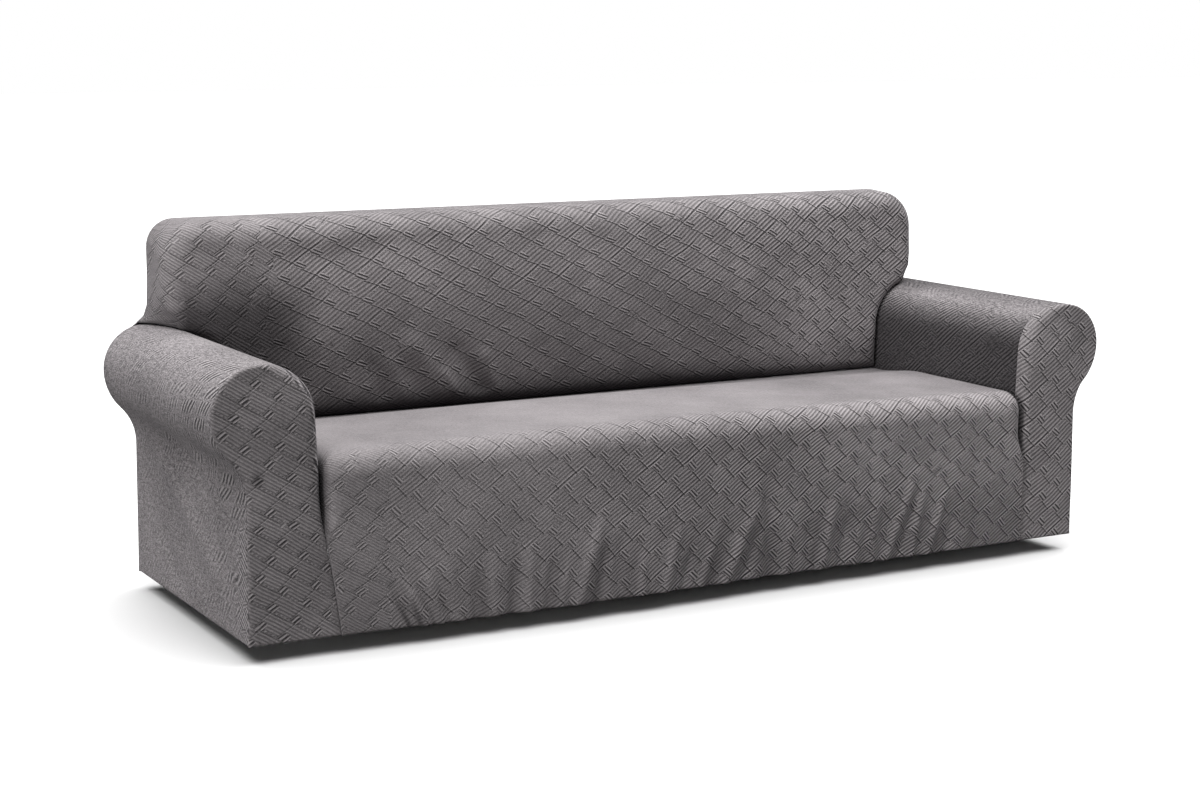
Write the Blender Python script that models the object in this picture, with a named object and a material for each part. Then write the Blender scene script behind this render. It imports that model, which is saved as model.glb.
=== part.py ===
"""Stretch slipcover for a long sofa with rolled arms: seven sewn panels of thin cloth, hollow, open below.

Metres, +Z up, +X to the right seen from the front, +Y to the rear. Sizes count from the floor (Z), the
middle (X) and the front of the arms (Y). A parent empty then moves the whole cover so that the origin is
on the inner side of the back's top, where the sofa holds the cover up.
"""

import math
from typing import NamedTuple

import bpy
import numpy as np

# Cloth and seams
CLOTH = 0.0025
SEAM_GAP = 0.0003
TUCK_GAP = 0.0006
HEM_Z = 0.040
HEM_ROLL = 0.005
SEAM_ROLL = 0.003
SEAM_LAND = 0.002
ROLL_ANGLES = (0.0, 30.0, 60.0, 90.0)

# Arms, as seen from the front: a straight inner face, a rolled top, and a hollow below the roll
ARM_TOP_Z = 0.625
ARM_INNER_X = 0.9205
ARM_INNER_LEAN_X = 0.925
ARM_INNER_RADIUS = 0.115
ARM_TOP_FLAT = 0.012
ARM_OUTER_RADIUS = 0.103
ARM_UNDER_RADIUS = 0.127
ARM_UNDER_ANGLE = 45.0
ARM_HOLLOW_RADIUS = 0.115
ARM_HEM_FLARE = 0.004
ARM_INNER_LEVELS = (0.372, 0.400, 0.440, 0.475)
ARM_SIDE_LEVELS = (0.28, 0.20, 0.12)
ARM_FRONT_ROLL = 0.005
ARM_FRONT_INNER_ROLL = 0.026
ARM_FRONT_CROWN = 0.007
ARM_FRONT_COLUMNS = 4
ARM_LENGTH_CELLS = 11

# Tucks between the seat's ends and the arm fronts
SEAM_TOP_Z = 0.400
SEAM_LEVELS = (0.040, 0.070, 0.100, 0.170, 0.240, 0.290, 0.345)
TUCK_END_Z = 0.240

# Seat deck and apron, as a section along Y
SEAT_Z = 0.424
SEAT_CROWN = 0.010
SEAT_TILT = 0.007
SEAT_NOSE_RADIUS = 0.050
SEAT_NOSE_STEPS = 4
SEAT_FRONT_END_Y = -0.012
SEAT_FRONT_BOW = 0.018
SEAT_END_ROLL = 0.040
SEAT_REAR_ROLL = 0.006
DECK_ROWS_Y = (0.632, 0.597, 0.545, 0.480, 0.400, 0.260, 0.080)
DECK_DIP_DEPTH = 0.24
APRON_ROWS_Z = (0.340, 0.290, 0.240, 0.205, 0.170, 0.135, 0.100, 0.070, HEM_Z + HEM_ROLL)
APRON_HEM_Y = -0.004
APRON_HEM_BOW = 0.017
APRON_BOW_X = -0.30
APRON_BOW_WIDTH = 0.40
SEAT_COLUMN_STEP = 0.060
SEAT_COLUMN_CLOSEST = 0.012

# Back
JUNCTION_Y = 0.602
JUNCTION_Z = 0.394
BACK_LEAN = 0.015
BACK_END_BULGE = 0.008
BACK_MIDDLE_BULGE = 0.016
BACK_TOP_Z = 0.866
BACK_END_X = 1.045
BACK_CORNER_RADIUS = 0.090
BACK_REAR_CORNER_RADIUS = 0.065
BACK_EDGE_ROLL = 0.050
BACK_FOOT_ROLL = 0.030
BACK_WING_RADIUS = 0.070
BACK_WING_ANGLES = (-50.0, -25.0, 0.0)
WEB_POINTS = ((0.000, 0.0030), (0.030, 0.0030), (0.012, 0.0170), (0.003, 0.0420))
BACK_SIDE_LEVEL = 0.735
BACK_COLUMNS = 34
STRIP_STATIONS = ((0.40, 0.40), (0.96, 1.0), (1.0, 1.0))
REAR_SEAM_Y = 0.750
REAR_ROLL = 0.008
REAR_COLUMNS = 10
BACK_TUCK_DEPTH = 0.015

CLOTH_GREY = (0.165, 0.158, 0.161, 1.0)


class SeamLevel(NamedTuple):
    """The seam between the apron and each arm front, as |x| on the level z."""

    z: float
    left: float
    right: float


class HemFold(NamedTuple):
    """A soft fold that rises from the front hem. A negative height is a trough."""

    hem_x: float
    lean: float
    top_z: float
    half_width: float
    height: float


class FaceFold(NamedTuple):
    """A soft fold along a straight line in a panel's own two directions."""

    start: tuple
    end: tuple
    half_width: float
    height: float


APRON_SEAMS = (
    SeamLevel(z=HEM_Z, left=0.884, right=0.925),
    SeamLevel(z=0.100, left=0.892, right=0.9245),
    SeamLevel(z=0.170, left=0.902, right=0.9235),
    SeamLevel(z=TUCK_END_Z, left=0.914, right=0.9225),
    SeamLevel(z=0.290, left=0.919, right=0.9215),
    SeamLevel(z=SEAM_TOP_Z, left=ARM_INNER_X, right=ARM_INNER_X),
)

APRON_FOLDS = (
    HemFold(hem_x=-0.694, lean=-0.52, top_z=0.17, half_width=0.015, height=0.007),
    HemFold(hem_x=-0.657, lean=-0.32, top_z=0.19, half_width=0.014, height=0.006),
    HemFold(hem_x=-0.612, lean=-0.30, top_z=0.22, half_width=0.020, height=0.004),
    HemFold(hem_x=-0.535, lean=0.00, top_z=0.20, half_width=0.022, height=0.004),
    HemFold(hem_x=-0.450, lean=0.00, top_z=0.21, half_width=0.022, height=0.005),
    HemFold(hem_x=-0.330, lean=0.30, top_z=0.26, half_width=0.024, height=0.006),
    HemFold(hem_x=-0.221, lean=0.00, top_z=0.22, half_width=0.022, height=-0.004),
    HemFold(hem_x=-0.105, lean=0.22, top_z=0.23, half_width=0.022, height=0.006),
    HemFold(hem_x=0.058, lean=0.44, top_z=0.25, half_width=0.026, height=0.007),
    HemFold(hem_x=0.178, lean=-0.05, top_z=0.34, half_width=0.026, height=-0.006),
    HemFold(hem_x=0.286, lean=0.00, top_z=0.19, half_width=0.018, height=-0.005),
    HemFold(hem_x=0.326, lean=0.19, top_z=0.24, half_width=0.022, height=0.007),
    HemFold(hem_x=0.472, lean=0.04, top_z=0.23, half_width=0.020, height=0.006),
    HemFold(hem_x=0.512, lean=0.39, top_z=0.28, half_width=0.018, height=0.007),
    HemFold(hem_x=0.587, lean=0.18, top_z=0.24, half_width=0.015, height=0.006),
    HemFold(hem_x=0.636, lean=0.32, top_z=0.23, half_width=0.015, height=0.006),
)

BACK_FOLDS = (
    FaceFold(start=(0.09, 0.84), end=(0.26, 0.45), half_width=0.055, height=0.007),
    FaceFold(start=(-0.82, 0.76), end=(-0.50, 0.79), half_width=0.035, height=-0.005),
    FaceFold(start=(-0.45, 0.55), end=(-0.36, 0.43), half_width=0.040, height=0.006),
    FaceFold(start=(-0.33, 0.53), end=(-0.27, 0.43), half_width=0.028, height=-0.005),
    FaceFold(start=(-0.68, 0.57), end=(-0.62, 0.45), half_width=0.045, height=0.005),
    FaceFold(start=(0.62, 0.70), end=(0.87, 0.51), half_width=0.045, height=-0.004),
)

# On the outer side of the arms, in (Y, Z): the cloth pulls from under the roll down to the front hem
ARM_FOLDS = (
    FaceFold(start=(0.66, 0.40), end=(0.20, 0.16), half_width=0.040, height=0.005),
    FaceFold(start=(0.45, 0.42), end=(0.12, 0.27), half_width=0.030, height=-0.004),
    FaceFold(start=(0.68, 0.24), end=(0.42, 0.06), half_width=0.040, height=-0.004),
)


def smooth(value, low, high):
    """0 below low, 1 above high, with a soft step between."""
    t = np.clip((np.asarray(value, float) - low) / (high - low), 0.0, 1.0)
    return t * t * (3.0 - 2.0 * t)


def arc(centre, radius, start, end, steps):
    """Points on an arc, from start to end in degrees, leaving the first one out."""
    angles = np.radians(np.linspace(start, end, steps + 1)[1:])
    return [(centre[0] + radius * math.cos(a), centre[1] + radius * math.sin(a)) for a in angles]


def fold_height(folds, across, up):
    """How far the straight folds lift a panel at each place."""
    total = np.zeros(np.broadcast(across, up).shape)
    for fold in folds:
        start = np.array(fold.start)
        run = np.array(fold.end) - start
        along = ((across - start[0]) * run[0] + (up - start[1]) * run[1]) / (run @ run)
        nearest = np.clip(along, 0.0, 1.0)
        distance = np.hypot(across - start[0] - nearest * run[0], up - start[1] - nearest * run[1])
        total += fold.height * np.exp(-((distance / fold.half_width) ** 2))
    return total


# ---------------------------------------------------------------- sections


def arm_inner_section():
    """The right arm's (x, z) points from the seat up its inner face to the top of its roll."""
    centre = (ARM_INNER_LEAN_X + ARM_INNER_RADIUS, ARM_TOP_Z - ARM_INNER_RADIUS)
    lean = (ARM_INNER_LEAN_X - ARM_INNER_X) / (centre[1] - SEAM_TOP_Z)
    face = [(ARM_INNER_X + lean * abs(z - SEAM_TOP_Z), z) for z in ARM_INNER_LEVELS]
    return np.array(face + [(ARM_INNER_LEAN_X, centre[1])] + arc(centre, ARM_INNER_RADIUS, 180, 90, 6))


def arm_outer_section():
    """The right arm's (x, z) points from the top of its roll round and down to the hem."""
    top = (ARM_INNER_LEAN_X + ARM_INNER_RADIUS + ARM_TOP_FLAT, ARM_TOP_Z)
    roll = (top[0], top[1] - ARM_OUTER_RADIUS)
    widest = roll[0] + ARM_OUTER_RADIUS
    under = (widest - ARM_UNDER_RADIUS, roll[1])
    points = [top] + arc(roll, ARM_OUTER_RADIUS, 90, 0, 6)
    points += arc(under, ARM_UNDER_RADIUS, 0, -ARM_UNDER_ANGLE, 3)
    turn = math.radians(ARM_UNDER_ANGLE)
    hollow = (
        points[-1][0] + ARM_HOLLOW_RADIUS * math.cos(turn),
        points[-1][1] - ARM_HOLLOW_RADIUS * math.sin(turn),
    )
    points += arc(hollow, ARM_HOLLOW_RADIUS, 180 - ARM_UNDER_ANGLE, 180, 3)
    side_x, side_z = points[-1]
    flare = ARM_HEM_FLARE / (side_z - HEM_Z)
    points += [(side_x + flare * (side_z - z), z) for z in ARM_SIDE_LEVELS + (HEM_Z,)]
    return np.array(points)


def seam_x(side, z):
    """|x| of the seam between the apron and the arm front of one side."""
    places = [row.right if side > 0 else row.left for row in APRON_SEAMS]
    return np.interp(z, [row.z for row in APRON_SEAMS], places)


def arm_edge_roll(x, z):
    """How deep the arm front rolls back at its outline: most over the roll's inner side."""
    inner = SEAM_ROLL + (ARM_FRONT_INNER_ROLL - SEAM_ROLL) * smooth(z, TUCK_END_Z, SEAM_TOP_Z)
    return inner + (ARM_FRONT_ROLL - inner) * smooth(x, 0.99, 1.05)


def back_face_y(z, x=ARM_INNER_X):
    """Where the back's front face stands: nearly upright, and fuller halfway up and in the middle."""
    below_top = np.clip((BACK_TOP_Z - z) / (BACK_TOP_Z - JUNCTION_Z), 0.0, 1.0)
    bulge = BACK_END_BULGE + BACK_MIDDLE_BULGE * smooth(-np.abs(x), -ARM_INNER_X, -0.55)
    full = 4.0 * below_top * (1.0 - below_top)
    return JUNCTION_Y + BACK_LEAN * (1.0 - below_top**2) - bulge * full


# ---------------------------------------------------------------- mesh building


def cloth_material(name):
    """A plain grey cloth for one panel."""
    material = bpy.data.materials.new(name)
    material.use_nodes = True
    shader = material.node_tree.nodes["Principled BSDF"]
    shader.inputs["Base Color"].default_value = CLOTH_GREY
    shader.inputs["Roughness"].default_value = 0.9
    shader.inputs["Metallic"].default_value = 0.0
    return material


def make_panel(name, points, faces, parent):
    """One panel from its outer surface. Solidify gives it the cloth's thickness on the inner side."""
    mesh = bpy.data.meshes.new(name)
    mesh.from_pydata([tuple(p) for p in points], [], faces)
    mesh.update()
    mesh.shade_smooth()
    mesh.materials.append(cloth_material(name + "_cloth"))
    panel = bpy.data.objects.new(name, mesh)
    bpy.context.collection.objects.link(panel)
    panel.parent = parent
    solidify = panel.modifiers.new("cloth", "SOLIDIFY")
    solidify.thickness = CLOTH
    solidify.offset = -1.0
    solidify.use_even_offset = False
    return panel


def grid_faces(rows, columns, flip=False):
    """Quads of a grid whose points are stored row by row."""
    faces = []
    for r in range(rows - 1):
        for c in range(columns - 1):
            a = r * columns + c
            quad = (a, a + 1, a + columns + 1, a + columns)
            faces.append(quad[::-1] if flip else quad)
    return faces


def border(rows, columns):
    """Places round a grid of cells, anticlockwise from its lower left, as (row, column)."""
    bottom = [(0, c) for c in range(columns)]
    right = [(r, columns) for r in range(rows)]
    top = [(rows, c) for c in range(columns, 0, -1)]
    left = [(r, 0) for r in range(rows, 0, -1)]
    return bottom + right + top + left


def inward_normals(loop):
    """Mitred normals towards the inside of a closed anticlockwise outline."""
    ahead = np.roll(loop, -1, axis=0) - loop
    ahead /= np.linalg.norm(ahead, axis=1, keepdims=True)
    normal = np.stack([-ahead[:, 1], ahead[:, 0]], axis=1)
    mitre = normal + np.roll(normal, 1, axis=0)
    mitre /= np.linalg.norm(mitre, axis=1, keepdims=True)
    return mitre / np.maximum(0.6, (mitre * normal).sum(axis=1, keepdims=True))


def even_rungs(left, right, shares, evenness):
    """Points between two side chains, rung by rung. evenness levels the rungs out away from the sides."""
    rows = len(left)
    rungs = left[:, None] + (right - left)[:, None] * shares[None, :, None]
    even_z = rungs[0, :, 1] + (rungs[-1, :, 1] - rungs[0, :, 1]) * np.linspace(0, 1, rows)[:, None]
    pull = evenness * np.clip(4.0 * np.minimum(shares, 1.0 - shares), 0.0, 1.0)
    rungs[:, :, 1] += pull * (even_z - rungs[:, :, 1])
    return rungs


def lid(left, right, shares, roll_of, surface, facing=-1, evenness=0.0, strip=None):
    """A panel that faces front (-1) or rear (+1) and rolls back round its whole outline.

    left and right are (x, z) chains with the same number of points, from the foot to the top. roll_of
    gives the radius of the roll at each outline point, and surface the y of the face. strip, if given,
    maps the outline to (on, rear outline): where on is true the panel goes on back to the rear seam.
    """
    rows, columns = len(left) - 1, len(shares) - 1
    outline = even_rungs(left, right, shares, 0.0)
    path = border(rows, columns)
    loop = np.array([outline[place] for place in path])
    normal = inward_normals(loop)
    roll = roll_of(loop[:, 0], loop[:, 1])
    points, faces, rings = [], [], []

    def add(xz, y):
        start = len(points)
        points.extend(np.column_stack([xz[:, 0], y, xz[:, 1]]))
        return np.arange(start, len(points))

    def join(outer, inner, on):
        count = len(path)
        for i in range(count):
            j = (i + 1) % count
            if on[i] and on[j]:
                faces.append((outer[i], outer[j], inner[j], inner[i]))

    everywhere = np.ones(len(path), bool)
    rings.append(add(loop, surface(loop[:, 0], loop[:, 1]) - facing * (roll + SEAM_LAND)))
    for angle in np.radians(ROLL_ANGLES):
        xz = loop + normal * (roll * (1.0 - math.cos(angle)))[:, None]
        y = surface(xz[:, 0], xz[:, 1]) - facing * roll * (1.0 - math.sin(angle))
        rings.append(add(xz, y))
    for outer, inner in zip(rings, rings[1:]):
        join(outer, inner, everywhere)

    if strip:
        on, rear_loop = strip(loop)
        edge_y = np.array([points[i][1] for i in rings[0]])
        inner = rings[0]
        for share, turned in STRIP_STATIONS:
            outer = np.full(len(path), -1)
            start = len(points)
            back_y = edge_y + (REAR_SEAM_Y - SEAM_GAP - edge_y) * share
            xz = loop + (rear_loop - loop) * turned
            points.extend(np.column_stack([xz[on, 0], back_y[on], xz[on, 1]]))
            outer[on] = np.arange(start, len(points))
            join(outer, inner, on)
            inner = outer

    place_of = {place: rings[-1][i] for i, place in enumerate(path)}
    inner_left = np.array([np.array(points[place_of[(r, 0)]])[[0, 2]] for r in range(rows + 1)])
    inner_right = np.array([np.array(points[place_of[(r, columns)]])[[0, 2]] for r in range(rows + 1)])
    inside = even_rungs(inner_left, inner_right, shares, evenness)
    for r in range(1, rows):
        xz = inside[r, 1:-1]
        for c, index in enumerate(add(xz, surface(xz[:, 0], xz[:, 1])), start=1):
            place_of[(r, c)] = index
    for r in range(rows):
        for c in range(columns):
            faces.append((place_of[r, c], place_of[r, c + 1], place_of[r + 1, c + 1], place_of[r + 1, c]))
    if facing > 0:
        faces = [face[::-1] for face in faces]
    return points, [tuple(int(i) for i in face) for face in faces]


def mirrored(chain):
    """The same (x, z) chain on the other side of the middle."""
    return chain * np.array([-1.0, 1.0])


# ---------------------------------------------------------------- panels


def make_arm_front(name, side, parent):
    """The scroll-shaped facing of one arm."""
    seam = [(seam_x(side, z), z) for z in SEAM_LEVELS]
    inner = np.concatenate([seam, arm_inner_section()[1:]])
    outer = arm_outer_section()[::-1]
    left, right = (inner, outer) if side > 0 else (mirrored(outer), mirrored(inner))

    def surface(x, z):
        middle = 1.0 - ((np.abs(x) - 1.015) / 0.09) ** 2
        return -ARM_FRONT_CROWN * np.clip(middle, 0.0, 1.0) * smooth(z, HEM_Z, 0.20) * smooth(-z, -0.61, -0.50)

    def roll_of(x, z):
        return np.where(z <= HEM_Z, HEM_ROLL, arm_edge_roll(np.abs(x), z))

    points, faces = lid(left, right, np.linspace(0, 1, ARM_FRONT_COLUMNS + 1), roll_of, surface)
    return make_panel(name, points, faces, parent)


def make_arm_wrap(name, side, parent):
    """The wrap of one arm: up from the seat, over the roll and down the outer side to the hem."""
    inner, outer = arm_inner_section(), arm_outer_section()
    hem = (outer[-1][0] - HEM_ROLL, HEM_Z + HEM_ROLL)
    outer[-1][1] = HEM_Z + HEM_ROLL
    section = np.concatenate([inner, outer, arc(hem, HEM_ROLL, 0, -90, 2)])
    x, z = section[:, 0], section[:, 1]
    front_y = arm_edge_roll(x, z) + SEAM_LAND + SEAM_GAP
    tucked_y = back_face_y(z) + BACK_FOOT_ROLL + BACK_TUCK_DEPTH
    on_inner_side = np.arange(len(section)) < len(inner) - 2
    rear_y = np.where(on_inner_side, tucked_y, REAR_SEAM_Y - SEAM_GAP)
    share = np.linspace(0, 1, ARM_LENGTH_CELLS + 1)
    y = front_y[:, None] + (rear_y - front_y)[:, None] * share
    on_side = smooth(x, 1.06, 1.08) * smooth(-z, -0.46, -0.40) * smooth(z, HEM_Z, 0.10)
    lift = fold_height(ARM_FOLDS, y, z[:, None]) * on_side[:, None] * np.sin(np.pi * share)
    points = np.stack([side * (x[:, None] + lift), y, np.broadcast_to(z[:, None], y.shape)], axis=-1)
    faces = grid_faces(len(section), ARM_LENGTH_CELLS + 1, flip=side > 0)
    return make_panel(name, points.reshape(-1, 3), faces, parent)


def back_rear_outline():
    """The right-hand rear seam over the arm: out to the web, up the end and round the tighter rear corner."""
    radius = BACK_REAR_CORNER_RADIUS
    corner = (BACK_END_X - radius, BACK_TOP_Z - radius)
    web = [(BACK_END_X + out, ARM_TOP_Z + up) for out, up in WEB_POINTS]
    end = [(BACK_END_X, BACK_SIDE_LEVEL), (BACK_END_X, corner[1])]
    return np.concatenate([web, end, arc(corner, radius, 0, 90, 5)])


def make_inside_back(name, parent):
    """The back's front face, its rounded top and its end returns, cut round both arms."""
    inner = arm_inner_section()[:-1]
    rise = inner[inner[:, 1] > JUNCTION_Z + BACK_FOOT_ROLL]
    step = np.gradient(rise, axis=0)
    away = np.stack([-step[:, 1], step[:, 0]], axis=1) / np.linalg.norm(step, axis=1, keepdims=True)
    wing_foot_z = ARM_TOP_Z + 2.0 * TUCK_GAP
    wing = (BACK_END_X - BACK_WING_RADIUS, wing_foot_z + BACK_WING_RADIUS)
    turns = np.radians(BACK_WING_ANGLES)
    corner = (BACK_END_X - BACK_CORNER_RADIUS, BACK_TOP_Z - BACK_CORNER_RADIUS)
    right = np.concatenate(
        [
            [(ARM_INNER_X - TUCK_GAP, JUNCTION_Z + TUCK_GAP)],
            rise + away * TUCK_GAP,
            np.column_stack([np.cos(turns), np.sin(turns)]) * BACK_WING_RADIUS + wing,
            [(BACK_END_X, BACK_SIDE_LEVEL), (BACK_END_X, corner[1])],
            arc(corner, BACK_CORNER_RADIUS, 0, 90, 5),
        ]
    )

    def surface(x, z):
        fade = smooth(-np.abs(x), -0.98, -0.86) * smooth(z, 0.405, 0.45) * smooth(-z, -0.84, -0.79)
        return back_face_y(z, x) - fold_height(BACK_FOLDS, x, z) * fade

    def roll_of(x, z):
        return BACK_FOOT_ROLL + (BACK_EDGE_ROLL - BACK_FOOT_ROLL) * smooth(z, wing_foot_z, wing[1])

    def strip(loop):
        x, z = np.abs(loop[:, 0]), loop[:, 1]
        on = (x > right[len(rise), 0] - 1e-6) | (z > corner[1])
        rear = loop.copy()
        for place, target in zip(right[len(rise) :], back_rear_outline()):
            same = np.hypot(x - place[0], z - place[1]) < 1e-6
            rear[same] = np.column_stack([np.sign(loop[same, 0]) * target[0], np.full(same.sum(), target[1])])
        return on, rear

    even = np.linspace(-1.0, 1.0, BACK_COLUMNS + 1)
    shares = 0.5 + 0.5 * (even + 0.12 * np.sin(np.pi * even))
    points, faces = lid(mirrored(right), right, shares, roll_of, surface, evenness=1.0, strip=strip)
    return make_panel(name, points, faces, parent)


def make_outside_back(name, parent):
    """The plain rear panel, from the hem to the top, with the arms' outline."""
    arm = arm_outer_section()[::-1]
    right = np.concatenate([arm[arm[:, 0] > BACK_END_X + WEB_POINTS[1][0]], back_rear_outline()[1:]])

    def surface(x, z):
        return np.full_like(x, REAR_SEAM_Y + SEAM_LAND + REAR_ROLL)

    def roll_of(x, z):
        return np.full_like(x, REAR_ROLL)

    shares = np.linspace(0, 1, REAR_COLUMNS + 1)
    points, faces = lid(mirrored(right), right, shares, roll_of, surface, facing=1, evenness=0.9)
    return make_panel(name, points, faces, parent)


def seat_columns():
    """Places across the seat, as shares of its half width: an even pitch, and three for each hem fold."""
    half = ARM_INNER_X - SEAT_END_ROLL
    places = list(np.arange(-half, half + 1e-6, 2 * half / round(2 * half / SEAT_COLUMN_STEP)))
    for fold in APRON_FOLDS:
        places += [fold.hem_x - fold.half_width, fold.hem_x, fold.hem_x + fold.half_width]
    kept = []
    for place in sorted(places):
        if not kept or place - kept[-1] > SEAT_COLUMN_CLOSEST:
            kept.append(place)
    kept[-1] = half
    return np.array(kept) / half


def seat_section(x):
    """Rows of (y, z, inward y, inward z) down the seat and the apron at one x, before its folds."""
    across = 1.0 - (x / ARM_INNER_X) ** 2
    top_z = SEAT_Z + SEAT_CROWN * across - SEAT_TILT * x / ARM_INNER_X
    front_y = SEAT_FRONT_END_Y - SEAT_FRONT_BOW * across
    hem_y = APRON_HEM_Y - APRON_HEM_BOW * math.exp(-(((x - APRON_BOW_X) / APRON_BOW_WIDTH) ** 2))
    rows = []
    for y in DECK_ROWS_Y:
        rise = float(smooth(-y, 0.005 - JUNCTION_Y, DECK_DIP_DEPTH - JUNCTION_Y))
        rows.append((y, JUNCTION_Z + (top_z - JUNCTION_Z) * rise, 0.0, -1.0))
    nose = (front_y + SEAT_NOSE_RADIUS, top_z - SEAT_NOSE_RADIUS)
    for step in range(SEAT_NOSE_STEPS + 1):
        turn = math.radians(90.0 + 90.0 * step / SEAT_NOSE_STEPS)
        out_y, out_z = math.cos(turn), math.sin(turn)
        y, z = nose[0] + SEAT_NOSE_RADIUS * out_y, nose[1] + SEAT_NOSE_RADIUS * out_z
        rows.append((y, z, -out_y, -out_z))
    for z in APRON_ROWS_Z:
        down = (nose[1] - z) / (nose[1] - HEM_Z)
        rows.append((front_y + (hem_y - front_y) * down, z, 1.0, 0.0))
    hem = (rows[-1][0] + HEM_ROLL, HEM_Z + HEM_ROLL)
    for y, z in arc(hem, HEM_ROLL, 180, 270, 2):
        rows.append((y, z, 1.0, 0.0))
    return rows


def apron_lift(x, z):
    """How far the folds of the apron stand out at one place."""
    total = 0.0
    for fold in APRON_FOLDS:
        middle = fold.hem_x + fold.lean * (z - HEM_Z)
        fade = float(smooth(-z, -fold.top_z, HEM_Z - 0.75 * fold.top_z - 0.25 * HEM_Z))
        total += fold.height * fade * math.exp(-(((x - middle) / fold.half_width) ** 2))
    return total


def seat_end_roll(y, z):
    """How far the seat's ends roll in: most at the front corners, and little at the rear and the hem."""
    if z < SEAM_TOP_Z and y < SEAT_NOSE_RADIUS:
        return SEAM_ROLL + (SEAT_END_ROLL - SEAM_ROLL) * float(smooth(z, TUCK_END_Z - 0.01, SEAM_TOP_Z - 0.03))
    return SEAT_REAR_ROLL + (SEAT_END_ROLL - SEAT_REAR_ROLL) * float(smooth(-y, -JUNCTION_Y, -0.33))


def make_seat_front(name, parent):
    """Seat deck and apron in one length, with a rolled tuck down each end."""
    shares = seat_columns()
    rolls = [(math.cos(a), math.sin(a)) for a in np.radians(ROLL_ANGLES[:-1])]
    columns = [(-1.0, c, s) for c, s in rolls]
    columns += [(share, 0.0, 1.0) for share in shares]
    columns += [(1.0, c, s) for c, s in rolls[::-1]]
    grid = []
    for share, out, up in columns:
        column = []
        side = 1 if share > 0 else -1
        for y, z, in_y, in_z in seat_section(share * (ARM_INNER_X - SEAT_END_ROLL)):
            roll = seat_end_roll(y, z)
            drop = roll * (1.0 - up)
            end_z = z + in_z * roll
            limit = float(seam_x(side, end_z)) - TUCK_GAP
            x = share * (limit - roll) + side * roll * out
            if z < SEAM_TOP_Z and y < SEAT_NOSE_RADIUS:
                y -= apron_lift(x, z)
            column.append((x, y + in_y * drop, z + in_z * drop))
        grid.append(column)
    rows = len(grid[0])
    points = [point for column in grid for point in column]
    return make_panel(name, points, grid_faces(len(grid), rows), parent)


def main():
    """Clear the scene and build the cover, panel by panel."""
    for old in list(bpy.data.objects):
        bpy.data.objects.remove(old)
    held = bpy.data.objects.new("sofa_under_top", None)
    bpy.context.collection.objects.link(held)
    middle_of_top_y = 0.5 * (back_face_y(BACK_TOP_Z) + BACK_EDGE_ROLL + REAR_SEAM_Y)
    held.location = (0.0, -float(middle_of_top_y), -(BACK_TOP_Z - CLOTH))
    make_seat_front("seat_front", held)
    make_inside_back("inside_back", held)
    make_outside_back("outside_back", held)
    for side, word in ((-1, "left"), (1, "right")):
        make_arm_wrap("arm_" + word, side, held)
        make_arm_front("arm_front_" + word, side, held)


main()
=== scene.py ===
"""A stretch slipcover for a long sofa with rolled arms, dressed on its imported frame.

Every panel is one thin sheet of cloth on the fold lines of its solid. Panels are drawn in metres that count
from the floor (z), the middle (x) and the front of the arms (y), and ORIGIN then takes them to the frame.
"""

import logging
import math
from dataclasses import dataclass, field
from enum import Enum
from typing import Callable, NamedTuple

import bpy
import numpy as np
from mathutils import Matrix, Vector


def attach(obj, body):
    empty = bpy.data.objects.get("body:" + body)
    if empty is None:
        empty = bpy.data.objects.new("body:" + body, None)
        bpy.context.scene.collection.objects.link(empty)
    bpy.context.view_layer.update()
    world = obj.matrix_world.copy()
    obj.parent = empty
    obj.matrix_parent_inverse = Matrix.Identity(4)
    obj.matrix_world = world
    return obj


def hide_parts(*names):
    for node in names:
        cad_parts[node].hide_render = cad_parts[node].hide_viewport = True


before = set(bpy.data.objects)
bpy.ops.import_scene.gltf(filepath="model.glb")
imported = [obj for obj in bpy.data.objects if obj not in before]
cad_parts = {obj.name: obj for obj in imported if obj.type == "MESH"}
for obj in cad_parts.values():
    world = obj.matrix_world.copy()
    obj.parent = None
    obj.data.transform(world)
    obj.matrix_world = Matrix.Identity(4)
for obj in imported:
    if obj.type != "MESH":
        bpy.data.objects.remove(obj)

LOG = logging.getLogger("slipcover")
ORIGIN = np.array([0.0, 0.7085, 0.8635])
GRID = 0.008
TOUCHING = 1e-6

Array = np.ndarray
Field = Callable[[Array, Array], Array]


# ---------------------------------------------------------------- small shared maths


def smooth(value: Array | float, low: float, high: float) -> Array:
    """Step softly from 0 below low to 1 above high.

    Args:
        value: where to read the step.
        low: the last place that gives 0.
        high: the first place that gives 1.

    Returns:
        The step's height at each place.
    """
    t = np.clip((np.asarray(value, float) - low) / (high - low), 0.0, 1.0)
    return t * t * (3.0 - 2.0 * t)


def fall(value: Array | float, low: float, high: float) -> Array:
    """Step softly from 1 below low to 0 above high."""
    return smooth(-np.asarray(value, float), -high, -low)


def bump(value: Array, middle: Array | float, half_width: float) -> Array:
    """A soft ridge of height 1 about a middle line."""
    return np.exp(-(((value - middle) / half_width) ** 2))


def quads_of(numbers: Array) -> Array:
    """The quads between the points of a grid of point numbers, one per row."""
    corners = [numbers[:-1, :-1], numbers[:-1, 1:], numbers[1:, 1:], numbers[1:, :-1]]
    return np.stack(corners, axis=-1).reshape(-1, 4)


def arc(centre: tuple, radius: float, start: float, end: float, steps: int) -> Array:
    """Points on an arc, leaving the first one out.

    Args:
        centre: the arc's centre.
        radius: its radius in metres.
        start: the first angle in degrees.
        end: the last angle in degrees.
        steps: how many points to give.

    Returns:
        The points, one per row.
    """
    angles = np.radians(np.linspace(start, end, steps + 1)[1:])
    return np.column_stack([centre[0] + radius * np.cos(angles), centre[1] + radius * np.sin(angles)])


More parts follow.
